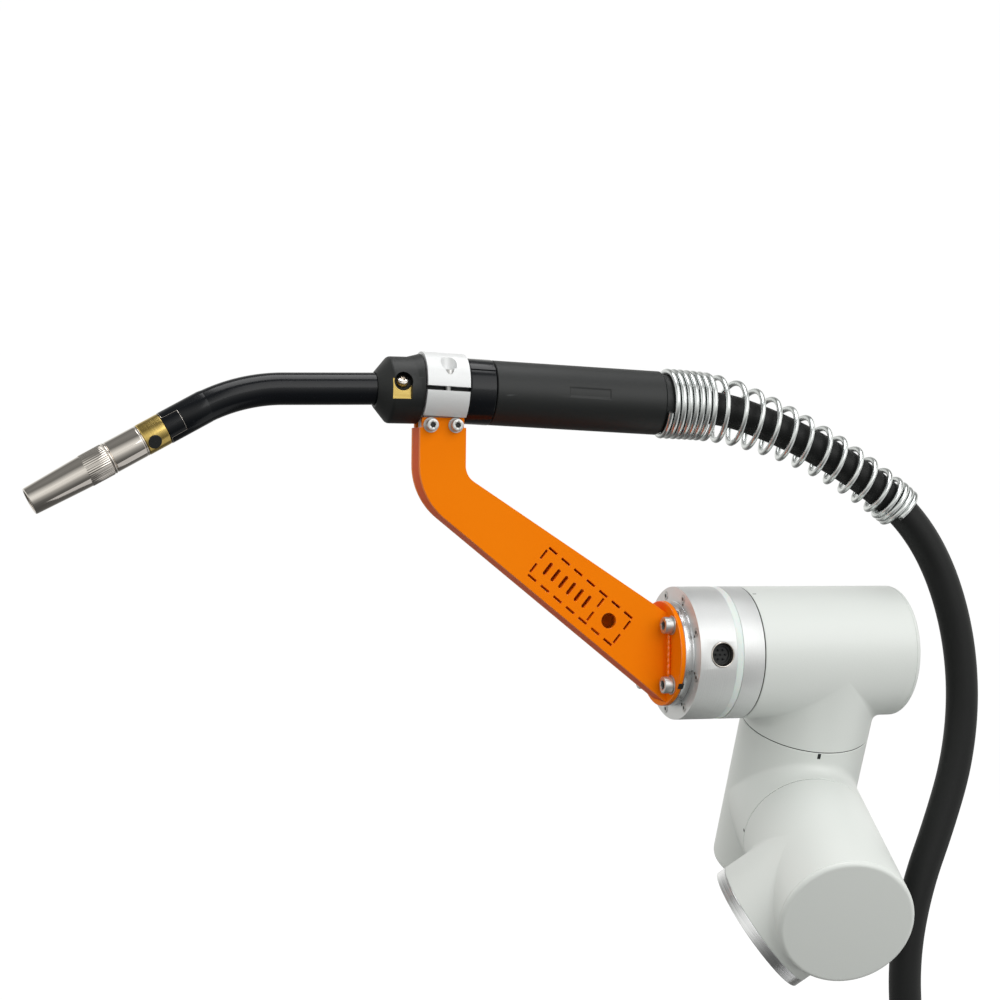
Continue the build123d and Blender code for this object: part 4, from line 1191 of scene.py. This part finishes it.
# %% Seam marks and index block
mark_spoke = swing(radians(64.4), face_side, up)
mark_4_spoke = np.cross(axis_4_out, axis_5_up)
for name, body, origin, along, spoke, span, half_angle in (
    ("joint_5_mark", "wrist_2", joint_4_centre, axis_5_up, axis_4_out, (47.7, 51.3), 1.4),
    ("joint_4_mark", "wrist_2", joint_4_centre, axis_4_out, mark_4_spoke, (47.6, 50.1), 1.1),
    ("joint_6_mark", "wrist_3", wrist_centre, tool_dir, mark_spoke, (52.6, 55.0), 0.35),
):
    grid = plate_on_tube(origin, along, spoke, span, radians(half_angle), (RADIUS - 0.5, RADIUS + 0.05))
    build(name, [grid], "black_plastic", (), body)
block_spoke = swing(radians(-34.6), face_side, up)
block = plate_on_tube(wrist_centre, tool_dir, block_spoke, (104.0, 107.2), radians(3.4), (30.5, 31.9))
build("index_block", [block], "black_plastic")

# %% [markdown]
# The brass block that squeezes the neck sits in the front shell's window. Its screw leans out
# of a dark well, and its round head is fluted for the fingers.

# %% Neck clamp
shell_origin = clamp_centre - 0.7 * up
well = shell_origin - 26.8 * torch_run + 4.5 * up
softened("neck_clamp_block", 0.5, "brass", (well, to_viewer))
screw_dir = swing(radians(38.0), to_viewer, up)
FLUTES = 22
spokes, angle = circle(screw_dir, torch_run, FLUTES * 8)
flute = 0.22 * np.clip(np.cos(FLUTES * angle) + 0.3, 0.0, 1.0)
key = hexagon(angle, 1.45)
rows = ((-1.5, 0.0, 0.0), (-1.5, 3.5, 1.0), (1.9, 3.5, 1.0), (2.2, 3.2, 0.5), (2.3, 2.9, 0.0))
rows = [(h, r - share * flute) for h, r, share in rows] + [(2.3, key), (0.7, key), (0.4, 0.0)]
head = rings(well + 14.3 * to_viewer, screw_dir, spokes, rows)
screw_head = build("neck_screw_head", [head], "zinc_steel", ["neck_clamp_screw"])
screw_head.data.materials[0] = finishes["bright_nickel"].material

# %% [markdown]
# A weld joins the near plate to the disc. A welder's hand leaves a row of overlapping drops,
# so the bead is a tube whose radius swells and shrinks along the seam.

# %% Weld bead
HALF_WELD = 14.0
weld_rise = np.linspace(-HALF_WELD, HALF_WELD, 113)
weld_line = torch_origin + weld_rise[:, None] * up + 16.2 * to_viewer - 0.2 * level
drops = 0.35 * np.abs(np.cos(np.pi * weld_rise / 3.6))
weld_radius = 0.70 + drops - 0.4 * (np.abs(weld_rise) / HALF_WELD) ** 8
weld_heading = np.broadcast_to(up, weld_line.shape)
weld = tube(weld_line, weld_heading, np.broadcast_to(to_viewer, weld_line.shape), weld_radius, 20)
build("weld_bead", [weld], "orange_powder_coat").data.materials[0] = pooled_coat.material

# %% [markdown]
# Inside the nozzle stand the diffuser and the copper contact tip that the wire comes out of.

# %% Diffuser and contact tip
softened("gas_diffuser", 0.4, "brass", (neck_corner, nozzle_dir), 2)
softened("contact_tip", 0.4, "copper", (neck_corner, nozzle_dir), 2)

# %% [markdown]
# The object stands in a white room: a pale floor that curves up all round into a dome, so
# every view has a plain ground. A lit floor would shine up into the dark parts, where the
# real one is dark, so the dome is seen by the camera only, and a sky of soft tones lights
# the object: bright round the middle, softer above, dark below.

# %% Floor
FLOOR = -245.0
curve = np.linspace(0.0, np.pi / 2, 13)
dome_profile = np.concatenate(
    (
        ((0.0, 0.0), (0.0, 1500.0)),
        np.stack((900.0 - 900.0 * np.cos(curve), 2500.0 + 900.0 * np.sin(curve)), axis=1),
        ((3600.0, 3400.0), (4200.0, 0.0)),
    )
)
dome_mesh = join_grids("pale_dome", [lathe(FLOOR * up, up, level, dome_profile, 64)])
dome_mesh.polygons.foreach_set("use_smooth", np.ones(len(dome_mesh.polygons), dtype=bool))
dome = bpy.data.objects.new("pale_dome", dome_mesh)
dome_finish = Finish("pale_paper", (0.0, 0.0, 0.0), 0.9)
dome_finish.set(Emission_Color=(1.0, 1.0, 1.0, 1.0), Emission_Strength=1.0)
dome_mesh.materials.append(dome_finish.material)
bpy.context.scene.collection.objects.link(dome)
dome.visible_diffuse = dome.visible_glossy = dome.visible_shadow = dome.visible_transmission = False

# %% [markdown]
# A broad lamp hangs straight above, which polished metal shows as a bright line on its upper
# side, and a second one stands over the viewer's right shoulder. What faces left or down falls
# into soft shade. A weak lamp fills in from low on the right, as a pale table would.

# %% Lamps
for name, place, aim, size, power in (
    ("overhead_lamp", (-0.1, 0.05, 1.9), (-0.1, 0.0, 0.1), 1.2, 15.0),
    ("key_lamp", (0.5, -1.7, 1.4), (0.0, 0.0, 0.12), 1.9, 20.0),
    ("low_lamp", (1.6, -0.5, -1.3), (0.0, 0.0, 0.1), 2.0, 7.0),
):
    lamp_data = bpy.data.lights.new(name, "AREA")
    lamp_data.shape = "SQUARE"
    lamp_data.size = size
    lamp_data.energy = power
    lamp = bpy.data.objects.new(name, lamp_data)
    bpy.context.scene.collection.objects.link(lamp)
    away = unit(np.array(place) - np.array(aim))
    across = unit(np.cross(up, away))
    lamp_matrix = np.eye(4)
    lamp_matrix[:3, :3] = np.stack((across, np.cross(away, across), away), axis=1)
    lamp_matrix[:3, 3] = place
    lamp.matrix_world = Matrix(lamp_matrix.tolist())

# %% Sky
world = bpy.data.worlds.new("studio")
world.use_nodes = True
sky = NodeTree(world.node_tree)
direction = sky.node("TexCoord", output="Generated")
height = sky.split(direction)[2] * 0.5 + 0.5
tones = ((0.0, 0.08), (0.2, 0.14), (0.38, 0.46), (0.5, 0.92))
tones += ((0.66, 1.0), (0.78, 0.60), (0.88, 0.20), (1.0, 0.30))
stops = [(place, (tone, tone, 0.97 * tone, 1.0)) for place, tone in tones]
glow = sky.node("ValToRGB", {"stops": stops}, {0: height})
feed(sky.tree, world.node_tree.nodes["Background"].inputs["Color"], glow)
bpy.context.scene.world = world
bpy.context.scene.view_settings.view_transform = "Standard"
